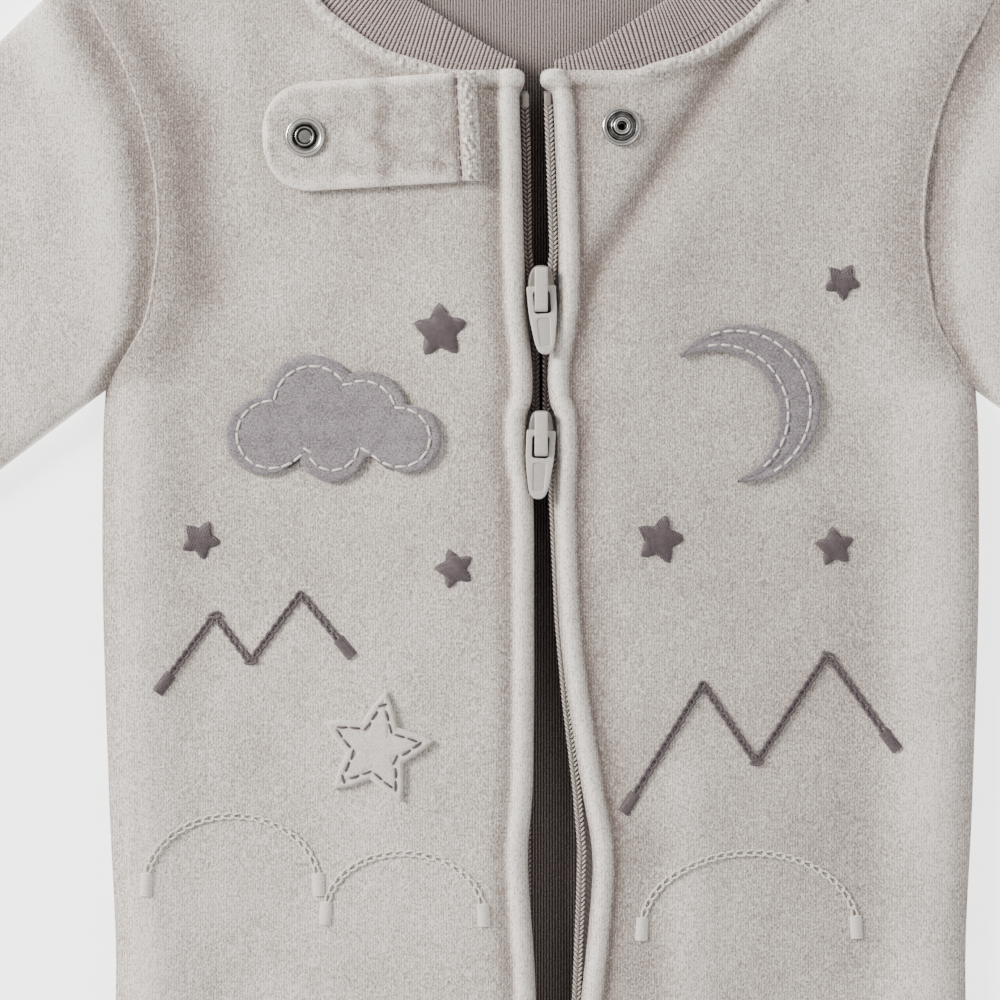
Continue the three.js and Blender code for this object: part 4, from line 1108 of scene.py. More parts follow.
# %% [markdown]
# ## Zip
#
# The zip has a woven tape on each side and a coil of nylon along its inner edge. Each coil is a thread wound
# into flat loops, one every 1.3 mm, with two columns of slanted stitches over it. It is made in three parts,
# because the two coils mesh between the sliders and painted shade darkens them there. The left coil has
# painted shade all along, and the right coil is the lit copy.

# %% Tapes and coils
TAPE_WIDTH = 10
TAPE_TOP = -25
TAPE_LENGTH = 320
TAPE_LEVEL = -3.0
COIL_INSET = 0.3
COIL_WIDTH = 2.1
BRAID_DROP = 1.15
COIL_PITCH = 1.3
COIL_FROM = -29
COIL_TO = -343
MESHED_FROM, MESHED_TO = -78, -122


def zip_level(y):
    return LAY + TENT * zip_share(np.asarray(y, float))


def braid(side, top, bottom):
    """Two columns of slanted stitches over a coil, which lean towards each other."""
    splines = []
    part = np.array([0, 0.15, 0.5, 0.85, 1])
    for y in np.arange(top, bottom, -COIL_PITCH):
        edge = float(zip_column(y, side.coil))
        for outer, inner in ((0.4, 1.25), (2.5, 1.6)):
            x = edge + side.sign * (outer + (inner - outer) * part)
            z = float(zip_level(y)) + TAPE_LEVEL + 1.15 + np.array([-0.35, 0.1, 0.2, 0.1, -0.35])
            splines.append(np.column_stack([x, y - BRAID_DROP * part, z]))
    return splines


# Lit and shaded copies of one coil: painted shade on the left coil and where the coils mesh, the lit copy on the right
for side, node, coil_core, coil_material in (
    (LEFT, "zip_tape_left", shaded_core, coil_dark),
    (RIGHT, "zip_tape_right", light_core, coil_light),
):

    def tape_shape(u, v, side=side):
        y = TAPE_TOP - TAPE_LENGTH * v
        x = zip_column(y, side.coil) + side.sign * (COIL_INSET + (TAPE_WIDTH - COIL_INSET) * u)
        return x, y, zip_level(y) + TAPE_LEVEL

    tape_grid = (np.linspace(0, 1, 11), np.linspace(0, 1, 161))
    tape = cloth(node + "_cloth", *tape_grid, tape_shape, (TAPE_WIDTH, TAPE_LENGTH))
    thicken(tape, 0.8)
    dressed(tape, tape_cloth)
    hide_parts(node)

    for label, top, bottom, core, material in (
        ("upper", COIL_FROM, MESHED_FROM, coil_core, coil_material),
        ("meshed", MESHED_FROM, MESHED_TO, shaded_core, coil_shaded),
        ("lower", MESHED_TO, COIL_TO, coil_core, coil_material),
    ):
        turns = (top - bottom) / COIL_PITCH
        phase = np.arange(0, turns * 8) / 8
        coil_y = top - phase * COIL_PITCH
        swing = np.cos(2 * math.pi * phase)
        coil_x = zip_column(coil_y, side.coil) + side.sign * (COIL_WIDTH / 2 + 0.3 - COIL_WIDTH / 2 * swing)
        coil_z = zip_level(coil_y) + TAPE_LEVEL + 0.6 + 0.4 * np.sin(2 * math.pi * phase)
        coil_points = np.column_stack([coil_x, coil_y + 0.25 * swing, coil_z])
        thread_piece(f"{node}_coil_{label}", [coil_points], 0.32, core)
        thread_piece(f"{node}_braid_{label}", braid(side, top, bottom), 0.29, material)

for name, x, y in (("stop_left", -4.3, -27.8), ("stop_right", 1.9, -27.5)):
    mesh = bmesh.new()
    bmesh.ops.create_cube(mesh, size=1, matrix=Matrix.Diagonal((2.0 * MM, 3.9 * MM, 1.7 * MM, 1)))
    bmesh.ops.bevel(
        mesh, geom=mesh.edges[:], offset=0.45 * MM, segments=3, affect="EDGES", profile=0.5, material=-1
    )
    level = float(zip_level(y)) + TAPE_LEVEL + 0.9
    bmesh.ops.translate(mesh, vec=(x * MM, (y + RISE) * MM, level * MM), verts=mesh.verts)
    # The zip stops take the plastic painted darker as shade
    dressed(finish_mesh("zip_" + name, mesh), body_plastic)
print("zip made")

# %% [markdown]
# ## Sliders and pulls
#
# Each slider has two plates joined by a post, with an arched bridge on top. The pull hangs from the bridge
# by the bar above its slot. Below the slot it has a bare recessed panel. These are moulded in one soft grey
# plastic with rounded edges, so every outline is a filled curve with a bevel. Shade is painted in: the slider
# bodies and the recessed panel are darker copies of the plastic, and a dark sheet lies under the pull's slot.

# %% Sliders and pulls
BRIDGE_WIDTH = 3.6
PULL_AXIS = 1.4
PULL_THICKNESS = 1.2
PULL_TILT = 6
CROWN = [
    (-3.7, 2.2), (-3.1, 5.0), (-1.6, 6.9), (1.6, 6.9), (3.1, 5.0), (3.7, 2.2), (3.4, -3.0), (2.4, -6.6),
    (-2.4, -6.6), (-3.4, -3.0),
]
ARCH = [
    (-6.2, -0.3), (-4.6, -0.3), (-4.6, 2.7), (4.6, 2.7), (4.6, -0.3), (6.2, -0.3), (6.2, 3.9), (-6.2, 3.9),
]
PULL_OUTLINE = [
    (-4.05, 0.8), (4.05, 0.8), (3.95, -7.2), (2.8, -15.2), (2.1, -17.4), (0.9, -18.4), (-0.9, -18.4),
    (-2.1, -17.4), (-2.8, -15.2), (-3.95, -7.2),
]
# The radius of each corner of the pull, in the order of its outline
PULL_CORNERS = [0.6, 0.6, 3, 3, 1, 1, 1, 1, 3, 3]
# Name, height on the zip, which way it opens and how far the pull leans in degrees
ZIPPERS = [("top", -80.6, 1, 4), ("bottom", -120.6, -1, -3)]


def rounded(points, radius, steps=4):
    """An outline with its corners rounded off, all by one radius or each by its own."""
    points = [np.array(point, float) for point in points]
    radii = radius if isinstance(radius, list) else [radius] * len(points)
    line = []
    for k, corner in enumerate(points):
        before, after = points[k - 1], points[(k + 1) % len(points)]
        back = before - corner
        ahead = after - corner
        reach = min(radii[k], 0.48 * np.linalg.norm(back), 0.48 * np.linalg.norm(ahead))
        start = corner + back / np.linalg.norm(back) * reach
        end = corner + ahead / np.linalg.norm(ahead) * reach
        for step in range(steps + 1):
            t = step / steps
            line.append((1 - t) ** 2 * start + 2 * t * (1 - t) * corner + t**2 * end)
    return line


def plate(name, outlines, thickness, edge, place):
    """A flat plate with rounded edges, from an outline and its holes. place moves it from its own plan."""
    data = bpy.data.curves.new(name, "CURVE")
    data.dimensions = "2D"
    data.fill_mode = "BOTH"
    data.extrude = (thickness / 2 - edge) * MM
    data.bevel_depth = edge * MM
    data.bevel_resolution = 2
    data.offset = -edge * MM
    for outline in outlines:
        spline = data.splines.new("POLY")
        spline.points.add(len(outline) - 1)
        spline.use_cyclic_u = True
        for point, (x, y) in zip(spline.points, outline):
            point.co = (x * MM, y * MM, 0, 1)
    made = bpy.data.objects.new(name, data)
    bpy.context.scene.collection.objects.link(made)
    bpy.context.view_layer.update()
    mesh = bmesh.new()
    shown = made.evaluated_get(bpy.context.evaluated_depsgraph_get())
    mesh.from_mesh(shown.to_mesh())
    shown.to_mesh_clear()
    bpy.data.objects.remove(made)
    bmesh.ops.transform(mesh, matrix=place, verts=mesh.verts)
    bmesh.ops.remove_doubles(mesh, verts=mesh.verts, dist=2e-6)
    piece = finish_mesh(name, mesh)
    piece.data.set_sharp_from_angle(angle=math.radians(40))
    return piece


def raised(place, height):
    """A place moved up along its own z, in millimetres."""
    return place @ Matrix.Translation((0, 0, height * MM))


for name, y, opens, skew in ZIPPERS:
    body = "pull_" + name
    level = float(zip_level(y))
    at = Matrix.Translation((0, (y + RISE) * MM, level * MM))
    crown = rounded(CROWN, 1.9)
    if opens < 0:
        crown = [(x, -py) for x, py in crown][::-1]
    post_low, post_high = opens * 3.8 - 1.4, opens * 3.8 + 1.4
    post = rounded([(-0.6, post_low), (0.6, post_low), (0.6, post_high), (-0.6, post_high)], 0.3)
    arch = rounded(ARCH, 1.3)
    stand = Matrix.Rotation(math.pi / 2, 4, "Z") @ Matrix.Rotation(math.pi / 2, 4, "X")
    hollow = rounded([(-3.1, -0.6), (3.1, -0.6), (2.7, -7.4), (-2.7, -7.4)], 0.6)
    slider = "slider_" + name
    parts = [
        plate(slider, [crown], 1.5, 0.7, raised(at, -0.6)),
        plate(slider + "_lower", [crown], 1.0, 0.3, raised(at, -4.8)),
        plate(slider + "_post", [post], 4.0, 0.1, raised(at, -2.6)),
        plate(slider + "_bridge", [arch], BRIDGE_WIDTH, 0.4, at @ stand),
        # A dark sheet under the pull's slot, where there is only shade: painted shade
        plate(slider + "_hollow", [hollow], 0.3, 0.05, raised(at, 0.3)),
    ]
    for part in parts:
        kind = part.name.split("_")[-1]
        dressed(part, {"bridge": plastic, "hollow": recess_plastic}.get(kind, body_plastic))
    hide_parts("zip_slider_" + name)

    turned_pull = (
        at
        @ Matrix.Translation((0, 0.2 * MM, PULL_AXIS * MM))
        @ Matrix.Rotation(math.radians(skew), 4, "Z")
        @ Matrix.Rotation(math.radians(-PULL_TILT), 4, "X")
    )
    outline = rounded(PULL_OUTLINE, PULL_CORNERS, 5)
    slot = rounded([(-2.3, -0.8), (-2.3, -7), (2.3, -7), (2.3, -0.8)], 0.9)
    recess = rounded([(-1.75, -8.4), (-1.45, -16.2), (1.45, -16.2), (1.75, -8.4)], 0.8)
    tongue = plate("pull_" + name + "_frame", [outline, slot, recess], PULL_THICKNESS, 0.3, turned_pull)
    dressed(tongue, plastic, body)
    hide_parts("zip_pull_" + name)
    under = rounded([(-2.2, -8.0), (-1.9, -16.6), (1.9, -16.6), (2.2, -8.0)], 0.6)
    panel = plate("pull_" + name + "_panel", [under], 0.7, 0.1, raised(turned_pull, 0.02))
    dressed(panel, panel_plastic, body)
print("sliders made")

# %% [markdown]
# ## Chin tab and snaps
#
# The tab is two layers of velour sewn round and turned out, so its rim is round and a little proud. It is
# folded open on the left front. At its root the cut edges are overlocked. One half of the snap is set in the
# tab and the other in the right front. Both are rings of pressed steel, made by turning a profile.

# %% The tab
TAB_ROOT = np.array([-17.2, -35.4])
TAB_END = np.array([-77.5, -38.6])
TAB_LENGTH = float(np.hypot(*(TAB_END - TAB_ROOT)))
TAB_AXIS = (TAB_END - TAB_ROOT) / TAB_LENGTH
TAB_SIDEWAYS = np.array([TAB_AXIS[1], -TAB_AXIS[0]])
TAB_HALF = 15.1
TAB_ROUND = 14.5
TAB_OUT = [0, 0.5, 1.4, 2.9, 4.4, 5.3, 5.8, 6.6, 8, 12, 46, 56, 60.4]
TAB_THICK = [1.2, 2.6, 3.7, 4.1, 3.6, 2.3, 1.2, 2.0, 2.8, 2.9, 2.9, 2.7, 2.3]


def tab_half_width(out):
    """Straight sides and a round end, which is a little squarer than a circle."""
    into = np.clip((out - (TAB_LENGTH - TAB_ROUND)) / TAB_ROUND, 0, 1)
    end = np.maximum(1 - into**2.3, 0) ** (1 / 2.3)
    waist = 1 - 0.02 * np.exp(-(((out - 5.6) / 1.5) ** 2))
    return TAB_HALF * end * waist + 0.02


def tab_thickness(out, inwards):
    """Thicker in the sewn rim, and lower in the middle."""
    rim = 0.35 * np.exp(-(((inwards - 1.9) / 1.3) ** 2)) - 0.3 * smooth(inwards, 2.5, 7)
    return soft_table(out, TAB_OUT, TAB_THICK, 0.5) + rim * smooth(out, 4, 8)


def tab_place(x, y):
    """How far points are out from the tab's root, and inwards from its nearest edge."""
    out = (x - TAB_ROOT[0]) * TAB_AXIS[0] + (y - TAB_ROOT[1]) * TAB_AXIS[1]
    aside = (x - TAB_ROOT[0]) * TAB_SIDEWAYS[0] + (y - TAB_ROOT[1]) * TAB_SIDEWAYS[1]
    return out, np.minimum(tab_half_width(out) - np.abs(aside), TAB_LENGTH - out)


def tab_top(x, y):
    """The upper face of the tab over points of the pattern."""
    out, inwards = tab_place(x, y)
    crease = -0.5 * np.exp(-(((out - 25.5) / 2.4) ** 2)) - 0.4 * np.exp(-(((out - 10.5) / 2.2) ** 2))
    curls = 0.42 * waves(x, y, 12, 1.4, 3.0, 67) * (1 - smooth(out, 4.6, 5.6))
    nap = 0.14 * waves(x, y, 8, 6, 18, 61)
    return on_left(x, y) + REST_GAP + tab_thickness(out, inwards) + crease + curls + nap


# Painted light on the tab: a lighter rim and a lighter, mottled roll at the root, and painted shade in the creases and
# along the seam
def tab_painted_light(x, y):
    out, inwards = tab_place(x, y)
    rim = 0.42 * np.exp(-((inwards / 2.9) ** 2)) * smooth(out, 5, 8)
    crease = -0.26 * np.exp(-(((out - 25.5) / 3) ** 2)) - 0.2 * np.exp(-(((out - 10.5) / 2.6) ** 2))
    crease += 0.1 * waves(x, y, 9, 5, 16, 63) * smooth(out, 6, 9)
    seam = -0.5 * np.exp(-(((out - 5.8) / 0.55) ** 2))
    at_root = 1 - smooth(out, 4.6, 5.6)
    roll = 0.06 * at_root + 0.26 * waves(x, y, 12, 1.0, 2.2, 71) * at_root
    return rim + crease + seam + roll


def tab_shape(u, v):
    out = TAB_LENGTH * (1 - (1 - v) ** 1.4)
    turn = 2 * math.pi * u
    half = tab_half_width(out)
    squeeze = np.sign(np.cos(turn)) * (1 - (1 - np.abs(np.cos(turn))) ** 1.25)
    x = TAB_ROOT[0] + TAB_AXIS[0] * out + TAB_SIDEWAYS[0] * half * squeeze
    y = TAB_ROOT[1] + TAB_AXIS[1] * out + TAB_SIDEWAYS[1] * half * squeeze
    bottom = on_left(x, y) + REST_GAP
    top = tab_top(x, y)
    round_off = np.abs(np.sin(turn)) ** 0.5 * (1 - smooth(out, TAB_LENGTH - 1.6, TAB_LENGTH)) ** 0.5
    middle = bottom + 0.45 * (top - bottom)
    rise = np.where(np.sin(turn) > 0, top - middle, bottom - middle)
    return x, y, middle + rise * round_off, tab_painted_light(x, y)


tab_grid = (np.linspace(0, 1, 193), spread(150, [0, 0.3, 1], [0, 0.075, 1]))
tab = cloth("snap_tab_velour", *tab_grid, tab_shape, (62, TAB_LENGTH), sewn=True)
close_ends(tab)
dressed(tab, velour)
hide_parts("snap_tab")
count_faces(tab)


def tab_line(out, low, high):
    """A line across the tab at a distance from its root."""
    shares = np.linspace(low, high, 12)[:, None]
    return TAB_ROOT + TAB_AXIS * out + TAB_SIDEWAYS * TAB_HALF * shares


tab_seam = running_stitches(tab_line(5.75, -0.93, 0.93), 1.9, 0.8, tab_top, 0.15)
thread_piece("tab_seam", tab_seam, 0.2, dark_thread)

# %% Snap halves
SOCKET_PROFILE = [
    (0, 0), (5.3, 0), (5.6, 0.15), (5.7, 0.5), (5.6, 0.9), (5.3, 1.35), (4.95, 1.6), (4.7, 1.6), (4.35, 1.4),
    (3.95, 0.95), (3.55, 0.5), (3.0, 0.35), (2.75, 0.7), (2.65, 1.2), (2.45, 1.35), (2.25, 1.2), (2.1, 0.9),
    (1.5, 0.95), (0.8, 1.0), (0, 1.0),
]
STUD_PROFILE = [
    (0, 0), (5.1, 0), (5.35, 0.15), (5.45, 0.5), (5.3, 0.85), (4.9, 1.1), (4.4, 1.1), (4.0, 0.85),
    (3.6, 0.65), (3.0, 0.65), (2.7, 0.85), (2.5, 1.4), (2.35, 1.95), (2.1, 2.2), (1.7, 2.25), (1.35, 2.05), (1.2, 1.5),
    (1.1, 0.9), (0.6, 0.8), (0, 0.8),
]
# Radius and width of the rings darkened with painted shade
SOCKET_GROOVES = [(3.2, 0.35), (2.15, 0.12), (5.75, 0.12)]
STUD_GROOVES = [(0, 1.15), (3.3, 0.3), (2.55, 0.15), (4.1, 0.15), (5.45, 0.1)]


def snap(name, node, profile, grooves, x, y, gap, height_at):
    """A turned profile, set on the cloth and leaning with it."""
    mesh = bmesh.new()
    corners = [mesh.verts.new((radius * MM, 0, height * MM)) for radius, height in profile]
    for first, second in zip(corners, corners[1:]):
        mesh.edges.new((first, second))
    everything = mesh.verts[:] + mesh.edges[:]
    bmesh.ops.spin(
        mesh, geom=everything, cent=(0, 0, 0), axis=(0, 0, 1), angle=2 * math.pi, steps=56, use_merge=True
    )
    bmesh.ops.remove_doubles(mesh, verts=mesh.verts, dist=1e-6)
    painted_light_layer = mesh.verts.layers.float.new("pile")
    for vertex in mesh.verts:
        radius = vertex.co.xy.length / MM
        # Painted shade in the grooves of the upper face
        groove_shade = max(math.exp(-(((radius - middle) / width) ** 2)) for middle, width in grooves)
        vertex[painted_light_layer] = -0.9 * groove_shade if vertex.co.z > 0.2 * MM else 0
    reach = 4.0
    slope_x = (height_at(x + reach, y) - height_at(x - reach, y)) / (2 * reach)
    slope_y = (height_at(x, y + reach) - height_at(x, y - reach)) / (2 * reach)
    normal = Vector((-float(slope_x), -float(slope_y), 1)).normalized()
    lean = Vector((0, 0, 1)).rotation_difference(normal).to_matrix().to_4x4()
    middle = Vector((x * MM, (y + RISE) * MM, float(height_at(x, y)) * MM)) + normal * gap * MM
    bmesh.ops.transform(mesh, matrix=Matrix.Translation(middle) @ lean, verts=mesh.verts)
    piece = finish_mesh(name, mesh)
    dressed(piece, steel)
    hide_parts(node)


snap("socket_steel", "snap_socket", SOCKET_PROFILE, SOCKET_GROOVES, -65.5, -38, 0.15, tab_top)
snap("stud_steel", "snap_stud", STUD_PROFILE, STUD_GROOVES, 22.3, -35.3, 0.3, on_right)
print("snaps made")

# %% [markdown]
# ## Felt patches
#
# Three patches of felt are sewn on the chest: a cloud, a crescent moon and a star. Each lies on the front and
# follows it. A patch is a grid bent round its middle, with its edge pressed down a little by the stitches
# that run inside the edge.

# %% Patches
STITCH_INSET = 3.4
STITCH_LIFT = 0.35
PATCH_THREAD = 0.34
CLOUD = (-58, -118)
CLOUD_PUFFS = [(-19, -3, 11), (-6, 6, 13.5), (9, 3, 12), (21, -4, 9.5), (0, -6, 10)]
STAR = (-46, -208)
STAR_OUTER, STAR_INNER, STAR_POINTS, STAR_LEAN = 18, 8.6, 5, 8
MOON = (56, -112)
MOON_OUTER, MOON_INNER, MOON_OFFSET, MOON_LEAN = 22, 18.5, 9.5, 205


def cloud_reach(angle):
    """How far a union of circles reaches from its middle in each direction."""
    reach = np.zeros(np.shape(angle))
    for x, y, radius in CLOUD_PUFFS:
        ahead = x * np.cos(angle) + y * np.sin(angle)
        aside = radius**2 - (x * x + y * y - ahead**2)
        reach = np.maximum(reach, np.where(aside > 0, ahead + np.sqrt(np.maximum(aside, 0)), 0))
    return reach


def star_reach(angle, outer=STAR_OUTER, inner=STAR_INNER, lean=STAR_LEAN, soften=0.08):
    """Straight stretches between tips and notches, with the tips drawn in a little."""
    sector = math.pi / STAR_POINTS
    turn = np.asarray(angle) - math.radians(lean)
    within = np.abs((turn % (2 * sector) + 3 * sector) % (2 * sector) - sector)
    tip = np.array([outer, 0.0])
    notch = inner * np.array([math.cos(sector), math.sin(sector)])
    edge = notch - tip
    reach = (tip[0] * edge[1] - tip[1] * edge[0]) / (np.cos(within) * edge[1] - np.sin(within) * edge[0])
    return reach * (1 - soften * np.exp(-((within / 0.12) ** 2)))


def ring_around(middle, reach_at, inset, count):
    angle = np.linspace(0, 2 * math.pi, count)
    reach = reach_at(angle) - inset
    return np.column_stack([middle[0] + reach * np.cos(angle), middle[1] + reach * np.sin(angle)])


def press_edge(inwards):
    """Felt rises from a pressed edge, and dips where the stitches run."""
    edge = -0.5 * (1 - smooth(inwards, 0, 1.0))
    stitched = -0.3 * np.exp(-(((inwards - STITCH_INSET) / 0.8) ** 2))
    return edge + stitched


def felt_patch(name, node, middle, reach_at, height_at, material, flat):
    def shape(u, v):
        angle = 2 * math.pi * u
        reach = reach_at(angle)
        x = middle[0] + v * reach * np.cos(angle)
        y = middle[1] + v * reach * np.sin(angle)
        return x, y, height_at(x, y) + REST_GAP + FELT + press_edge(reach * (1 - v))

    rings = spread(26, [0, 0.6, 1], [0, 0.76, 1])
    mesh = bmesh.new()
    bend_grid(mesh, np.linspace(0, 1, 221), rings, shape, flat)
    bmesh.ops.remove_doubles(mesh, verts=mesh.verts, dist=1e-6)
    patch = finish_mesh(name, mesh, upwards=True)
    thicken(patch, FELT)
    dressed(patch, material)
    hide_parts(node)
    count_faces(patch)


def over_felt(height_at):
    return lambda x, y: height_at(x, y) + REST_GAP + FELT - 0.3


felt_patch("cloud_felt", "applique_cloud", CLOUD, cloud_reach, on_left, grey_felt, (62, 36))
felt_patch("star_felt", "applique_star", STAR, star_reach, on_left, cream_felt, (36, 36))

tip_x = (MOON_OUTER**2 - MOON_INNER**2 + MOON_OFFSET**2) / (2 * MOON_OFFSET)
OUTER_START = math.acos(tip_x / MOON_OUTER)
INNER_START = math.acos((tip_x - MOON_OFFSET) / MOON_INNER)


def moon_place(share, across):
    """A point of the crescent: a share from tip to tip, and a share from the inner curve to the outer one."""
    outer_turn = OUTER_START + (2 * math.pi - 2 * OUTER_START) * share
    inner_turn = INNER_START + (2 * math.pi - 2 * INNER_START) * share
    inner_x = MOON_INNER * np.cos(inner_turn) + MOON_OFFSET
    inner_y = MOON_INNER * np.sin(inner_turn)
    x = inner_x + (MOON_OUTER * np.cos(outer_turn) - inner_x) * across
    y = inner_y + (MOON_OUTER * np.sin(outer_turn) - inner_y) * across
    lean = math.radians(MOON_LEAN)
    turned_x = x * math.cos(lean) - y * math.sin(lean)
    turned_y = x * math.sin(lean) + y * math.cos(lean)
    return turned_x + MOON[0], turned_y + MOON[1]


def moon_shape(u, v):
    share = 0.03 + 0.94 * v
    x, y = moon_place(share, u)
    width = 13 * np.sin(math.pi * share) ** 0.8
    inwards = width * np.minimum(u, 1 - u)
    return x, y, on_right(x, y) + REST_GAP + FELT + press_edge(inwards + 0.3)


moon_grid = (spread(30, [0, 0.25, 0.75, 1], [0, 0.12, 0.88, 1]), np.linspace(0, 1, 141))
moon = cloth("moon_felt", *moon_grid, moon_shape, (13, 80))
thicken(moon, FELT)
dressed(moon, grey_felt)
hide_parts("applique_moon")
count_faces(moon)

# %% Stitches that hold the patches
STITCH = 2.7
STITCH_GAP = 1.0
cloud_ring = ring_around(CLOUD, cloud_reach, STITCH_INSET, 400)
cloud_stitches = running_stitches(cloud_ring, STITCH, STITCH_GAP, over_felt(on_left), STITCH_LIFT)
thread_piece("cloud_stitches", cloud_stitches, PATCH_THREAD, cream_thread)


def inner_star(angle):
    return star_reach(angle, STAR_OUTER - 4.6, STAR_INNER - 2.4, STAR_LEAN, 0.05)


star_ring = ring_around(STAR, inner_star, 0, 400)
star_stitches = running_stitches(star_ring, STITCH, STITCH_GAP, over_felt(on_left), STITCH_LIFT)
thread_piece("star_stitches", star_stitches, PATCH_THREAD, dark_thread)

shares = np.linspace(0.14, 0.86, 120)
outer_side = np.column_stack(moon_place(shares, 0.76))
inner_side = np.column_stack(moon_place(shares, 0.24))
moon_stitches = []
for moon_line in (outer_side, inner_side):
    moon_stitches += running_stitches(moon_line, STITCH, STITCH_GAP, over_felt(on_right), STITCH_LIFT)
thread_piece("moon_stitches", moon_stitches, PATCH_THREAD, cream_thread)
print("patches sewn")

# %% [markdown]
# ## Embroidery
#
# The rest of the design is thread on velour: two ranges of mountains and three hills in chain stitch, each
# locked at its ends by a short satin bar, and small stars in dark satin stitch. A thread presses the pile
# down, so it lies a little lower than the velour's own surface.

# %% Mountains, hills and small stars
MOUNTAINS_RIGHT = [(24.5, -223), (45, -190), (60, -212), (80, -182), (97.5, -206)]
THICK_CHAIN = 0.42
THIN_CHAIN = 0.3
MOUNTAINS_LEFT = [(-105, -190), (-91, -171), (-81, -184), (-67, -165), (-54.5, -180)]


def sharp_line(points, pieces=12):
    """A line with corners, cut into short steps."""
    steps = []
    for (ax, ay), (bx, by) in zip(points, points[1:]):
        for share in np.linspace(0, 1, pieces, endpoint=False):
            steps.append((ax + (bx - ax) * share, ay + (by - ay) * share))
    steps.append(points[-1])
    return np.array(steps)


def hill(middle_x, foot_y, half_width, rise):
    turn = np.linspace(math.pi, 0, 40)
    return np.column_stack([middle_x + half_width * np.cos(turn), foot_y + rise * np.sin(turn)])


def chain_with_bars(name, line, height_at, thread, material):
    line = np.asarray(line, float)
    thread_piece(name, chain_stitches(line, height_at), thread, material, closed=True)
    bars = []
    for end, beside in ((line[0], line[1]), (line[-1], line[-2])):
        heading = math.atan2(*(end - beside)[::-1])
        bars += satin_threads(bar_outline(end[0], end[1], heading, 6.2, 2.9), heading, 0.45, height_at, 0.95)
    thread_piece(name + "_bars", bars, 0.34, material)


chain_with_bars("mountains_right", sharp_line(MOUNTAINS_RIGHT), on_right, THICK_CHAIN, dark_thread)
chain_with_bars("mountains_left", sharp_line(MOUNTAINS_LEFT), on_left, THICK_CHAIN, dark_thread)
chain_with_bars("hill_left", hill(-86, -246, 24, 19), on_left, THIN_CHAIN, cream_thread)
chain_with_bars("hill_middle", hill(-38, -254, 22, 17), on_left, THIN_CHAIN, cream_thread)
chain_with_bars("hill_right", hill(58, -258, 30, 21), on_right, THIN_CHAIN, cream_thread)

SMALL_STARS = [
    (-28, -92, 9, 20, on_left), (-95, -150, 6.5, -8, on_left), (-24, -158, 6.5, 35, on_left),
    (33, -150, 8, 5, on_right), (82, -152, 6.5, 25, on_right), (84, -78, 6, -12, on_right),
]
star_threads = []
for x, y, size, lean, height_at in SMALL_STARS:
    angle = np.linspace(0, 2 * math.pi, 120, endpoint=False)
    reach = star_reach(angle, size, size * 0.5, lean, 0.12)
    outline = np.column_stack([x + reach * np.cos(angle), y + reach * np.sin(angle)])
    star_threads += satin_threads(outline, math.radians(lean + 20), 0.42, height_at, 0.75)
thread_piece("small_stars", star_threads, 0.32, dark_thread)
print("threads in the small stars", len(star_threads))

# %% [markdown]
# ## Seams that show
#
# The neck seam is held by a row of small stitches, which shows on the rib beside the velour. The cut edge of
# the velour curls up along this seam as a fuzzy ridge, from the shoulder to where the placket begins.

# %% Neck stitches and the curled edge
neck_splines = []
for share in np.arange(0.006, 0.994, 1.25 / collar_length):
    if 0.36 < share < 0.64:
        continue
    part = share + np.array([-0.45, 0, 0.45]) / collar_length
    px, py, pz = collar_point(part, 0.3 + 0 * part, COLLAR_THICKNESS / 2 + np.array([-0.12, 0.05, -0.12]))
    neck_splines.append(np.column_stack([px, py, pz]))
thread_piece("neck_stitches", neck_splines, 0.18, matching_thread)

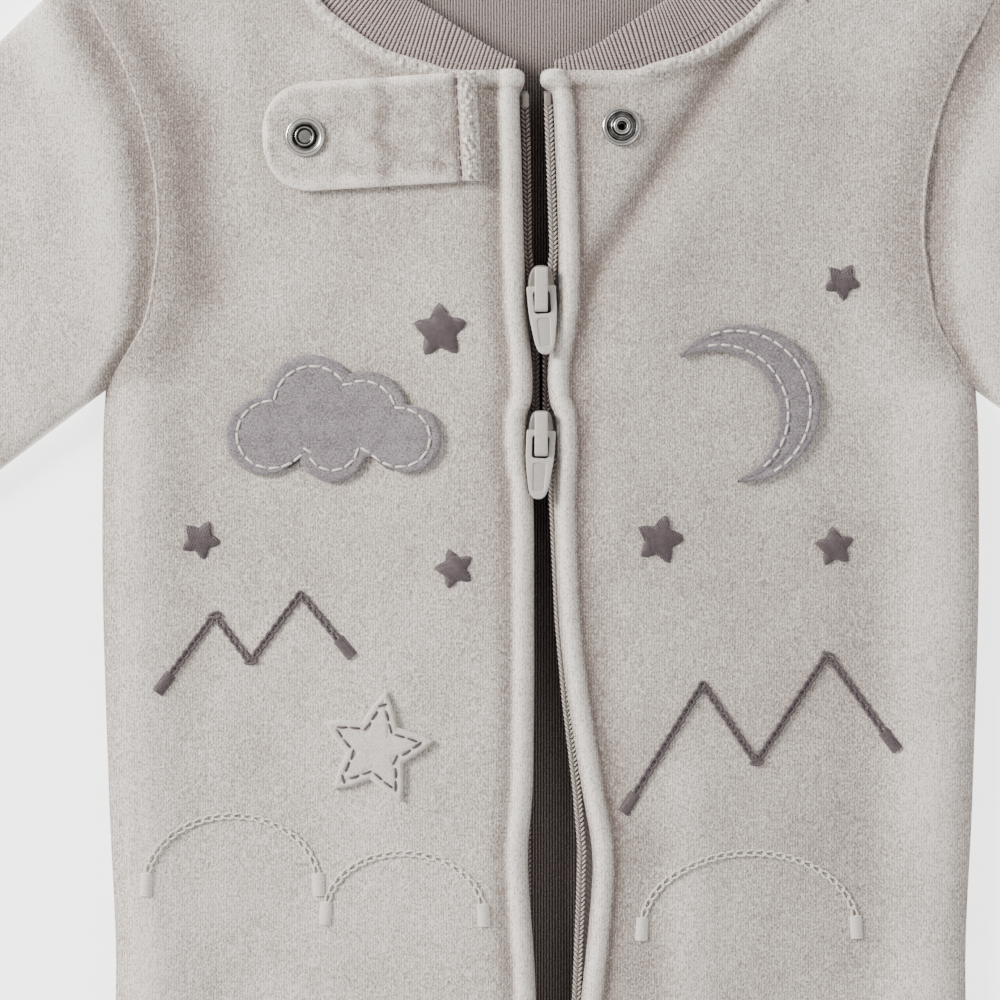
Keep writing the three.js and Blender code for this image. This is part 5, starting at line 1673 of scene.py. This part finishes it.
RIDGE_FROM = 22
RIDGE_OUT = 1.3
RIDGE_HALF = 1.75
RIDGE_RISE = 1.3
for name, side in (("neck_ridge_left", LEFT), ("neck_ridge_right", RIGHT)):
    ridge_line = side.neck_line[np.abs(side.neck_line[:, 0]) > RIDGE_FROM]
    shares = np.linspace(0, 1, 240)
    ridge_x, ridge_y = line_point(ridge_line, shares)
    ahead = np.column_stack([np.gradient(ridge_x), np.gradient(ridge_y)])
    ahead /= np.linalg.norm(ahead, axis=1)[:, None]

    def ridge_shape(u, v, side=side, shares=shares, ridge_x=ridge_x, ridge_y=ridge_y, ahead=ahead):
        out_x = side.sign * np.interp(v, shares, ahead[:, 1])
        out_y = -side.sign * np.interp(v, shares, ahead[:, 0])
        seam_x, seam_y = np.interp(v, shares, ridge_x), np.interp(v, shares, ridge_y)
        turn = 2 * math.pi * u
        full = np.sqrt(smooth(v, -0.01, 0.1))
        reach = RIDGE_OUT + RIDGE_HALF * np.cos(turn) * full
        x, y = seam_x + out_x * reach, seam_y + out_y * reach
        middle = front_height(side, seam_x + out_x * RIDGE_OUT, seam_y + out_y * RIDGE_OUT)
        curls = 0.3 * waves(x, y, 12, 1.3, 3.2, 13)
        rise = (RIDGE_RISE * np.sin(turn) + curls * np.maximum(np.sin(turn), 0)) * full
        # The curled edge is painted lighter, as a painted highlight, mottled at random
        return x, y, middle - 0.1 + rise, 0.2 + 0.2 * waves(x, y, 12, 1, 2.2, 17)

    ridge = cloth(name, np.linspace(0, 1, 17), np.linspace(0, 1, 221), ridge_shape, (10, 100), sewn=True)
    dressed(ridge, velour)
    count_faces(ridge)

print("seams done")

# %% [markdown]
# ## Floor and light
#
# A large soft lamp stands at the upper left, so slopes that face it are bright and the others fall into a
# soft shade. White walls around give the rest. The ceiling is darker, which lets the steel show its rings.

# %% Floor, lamps and room
floor_mesh = bmesh.new()
bmesh.ops.create_grid(floor_mesh, x_segments=1, y_segments=1, size=3)
bmesh.ops.translate(floor_mesh, vec=(0, 0, -0.3 * MM), verts=floor_mesh.verts)
floor = finish_mesh("floor", floor_mesh, upwards=True)
floor_skin, place = new_group("painted floor")
floor_grain = noise(floor_skin, place, 0.05, 2.0)
close_group(floor_skin, floor_grain, floor_grain)
FLOOR_PAINTS = [(0.3, (238, 238, 238)), (0.7, (244, 244, 244))]
floor_paint = surface("floor_paint", floor_skin, FLOOR_PAINTS, 0.02, 0.8, emission_strength=2.4)
floor.data.materials.append(floor_paint)


def lamp(name, place, size, power, colour):
    data = bpy.data.lights.new(name, "AREA")
    data.shape = "DISK"
    data.size = size
    data.energy = power
    data.color = colour
    made = bpy.data.objects.new(name, data)
    bpy.context.scene.collection.objects.link(made)
    made.location = place
    target = Vector((0, 0.1, 0))
    made.rotation_euler = (target - Vector(place)).to_track_quat("-Z", "Y").to_euler()


lamp("key", (-1.35, 0.7, 0.8), 0.6, 52, (1.0, 0.98, 0.95))
lamp("fill", (1.3, -0.5, 1.3), 1.2, 7, (1.0, 0.99, 0.98))

world = bpy.data.worlds.new("room")
bpy.context.scene.world = world
world.use_nodes = True
room = world.node_tree
sky = room.nodes["Background"]
heading = add_node(room, "ShaderNodeTexCoord").outputs["Generated"]
upward = add_node(room, "ShaderNodeSeparateXYZ", {"Vector": heading}).outputs["Z"]
walls = add_node(room, "ShaderNodeValToRGB", {"Fac": upward})
for step, (height, grey) in zip(walls.color_ramp.elements, ((0.55, 1.0), (0.97, 0.25))):
    step.position = height
    step.color = (grey, grey, grey, 1.0)
room.links.new(walls.outputs["Color"], sky.inputs["Color"])
sky.inputs["Strength"].default_value = 1.05
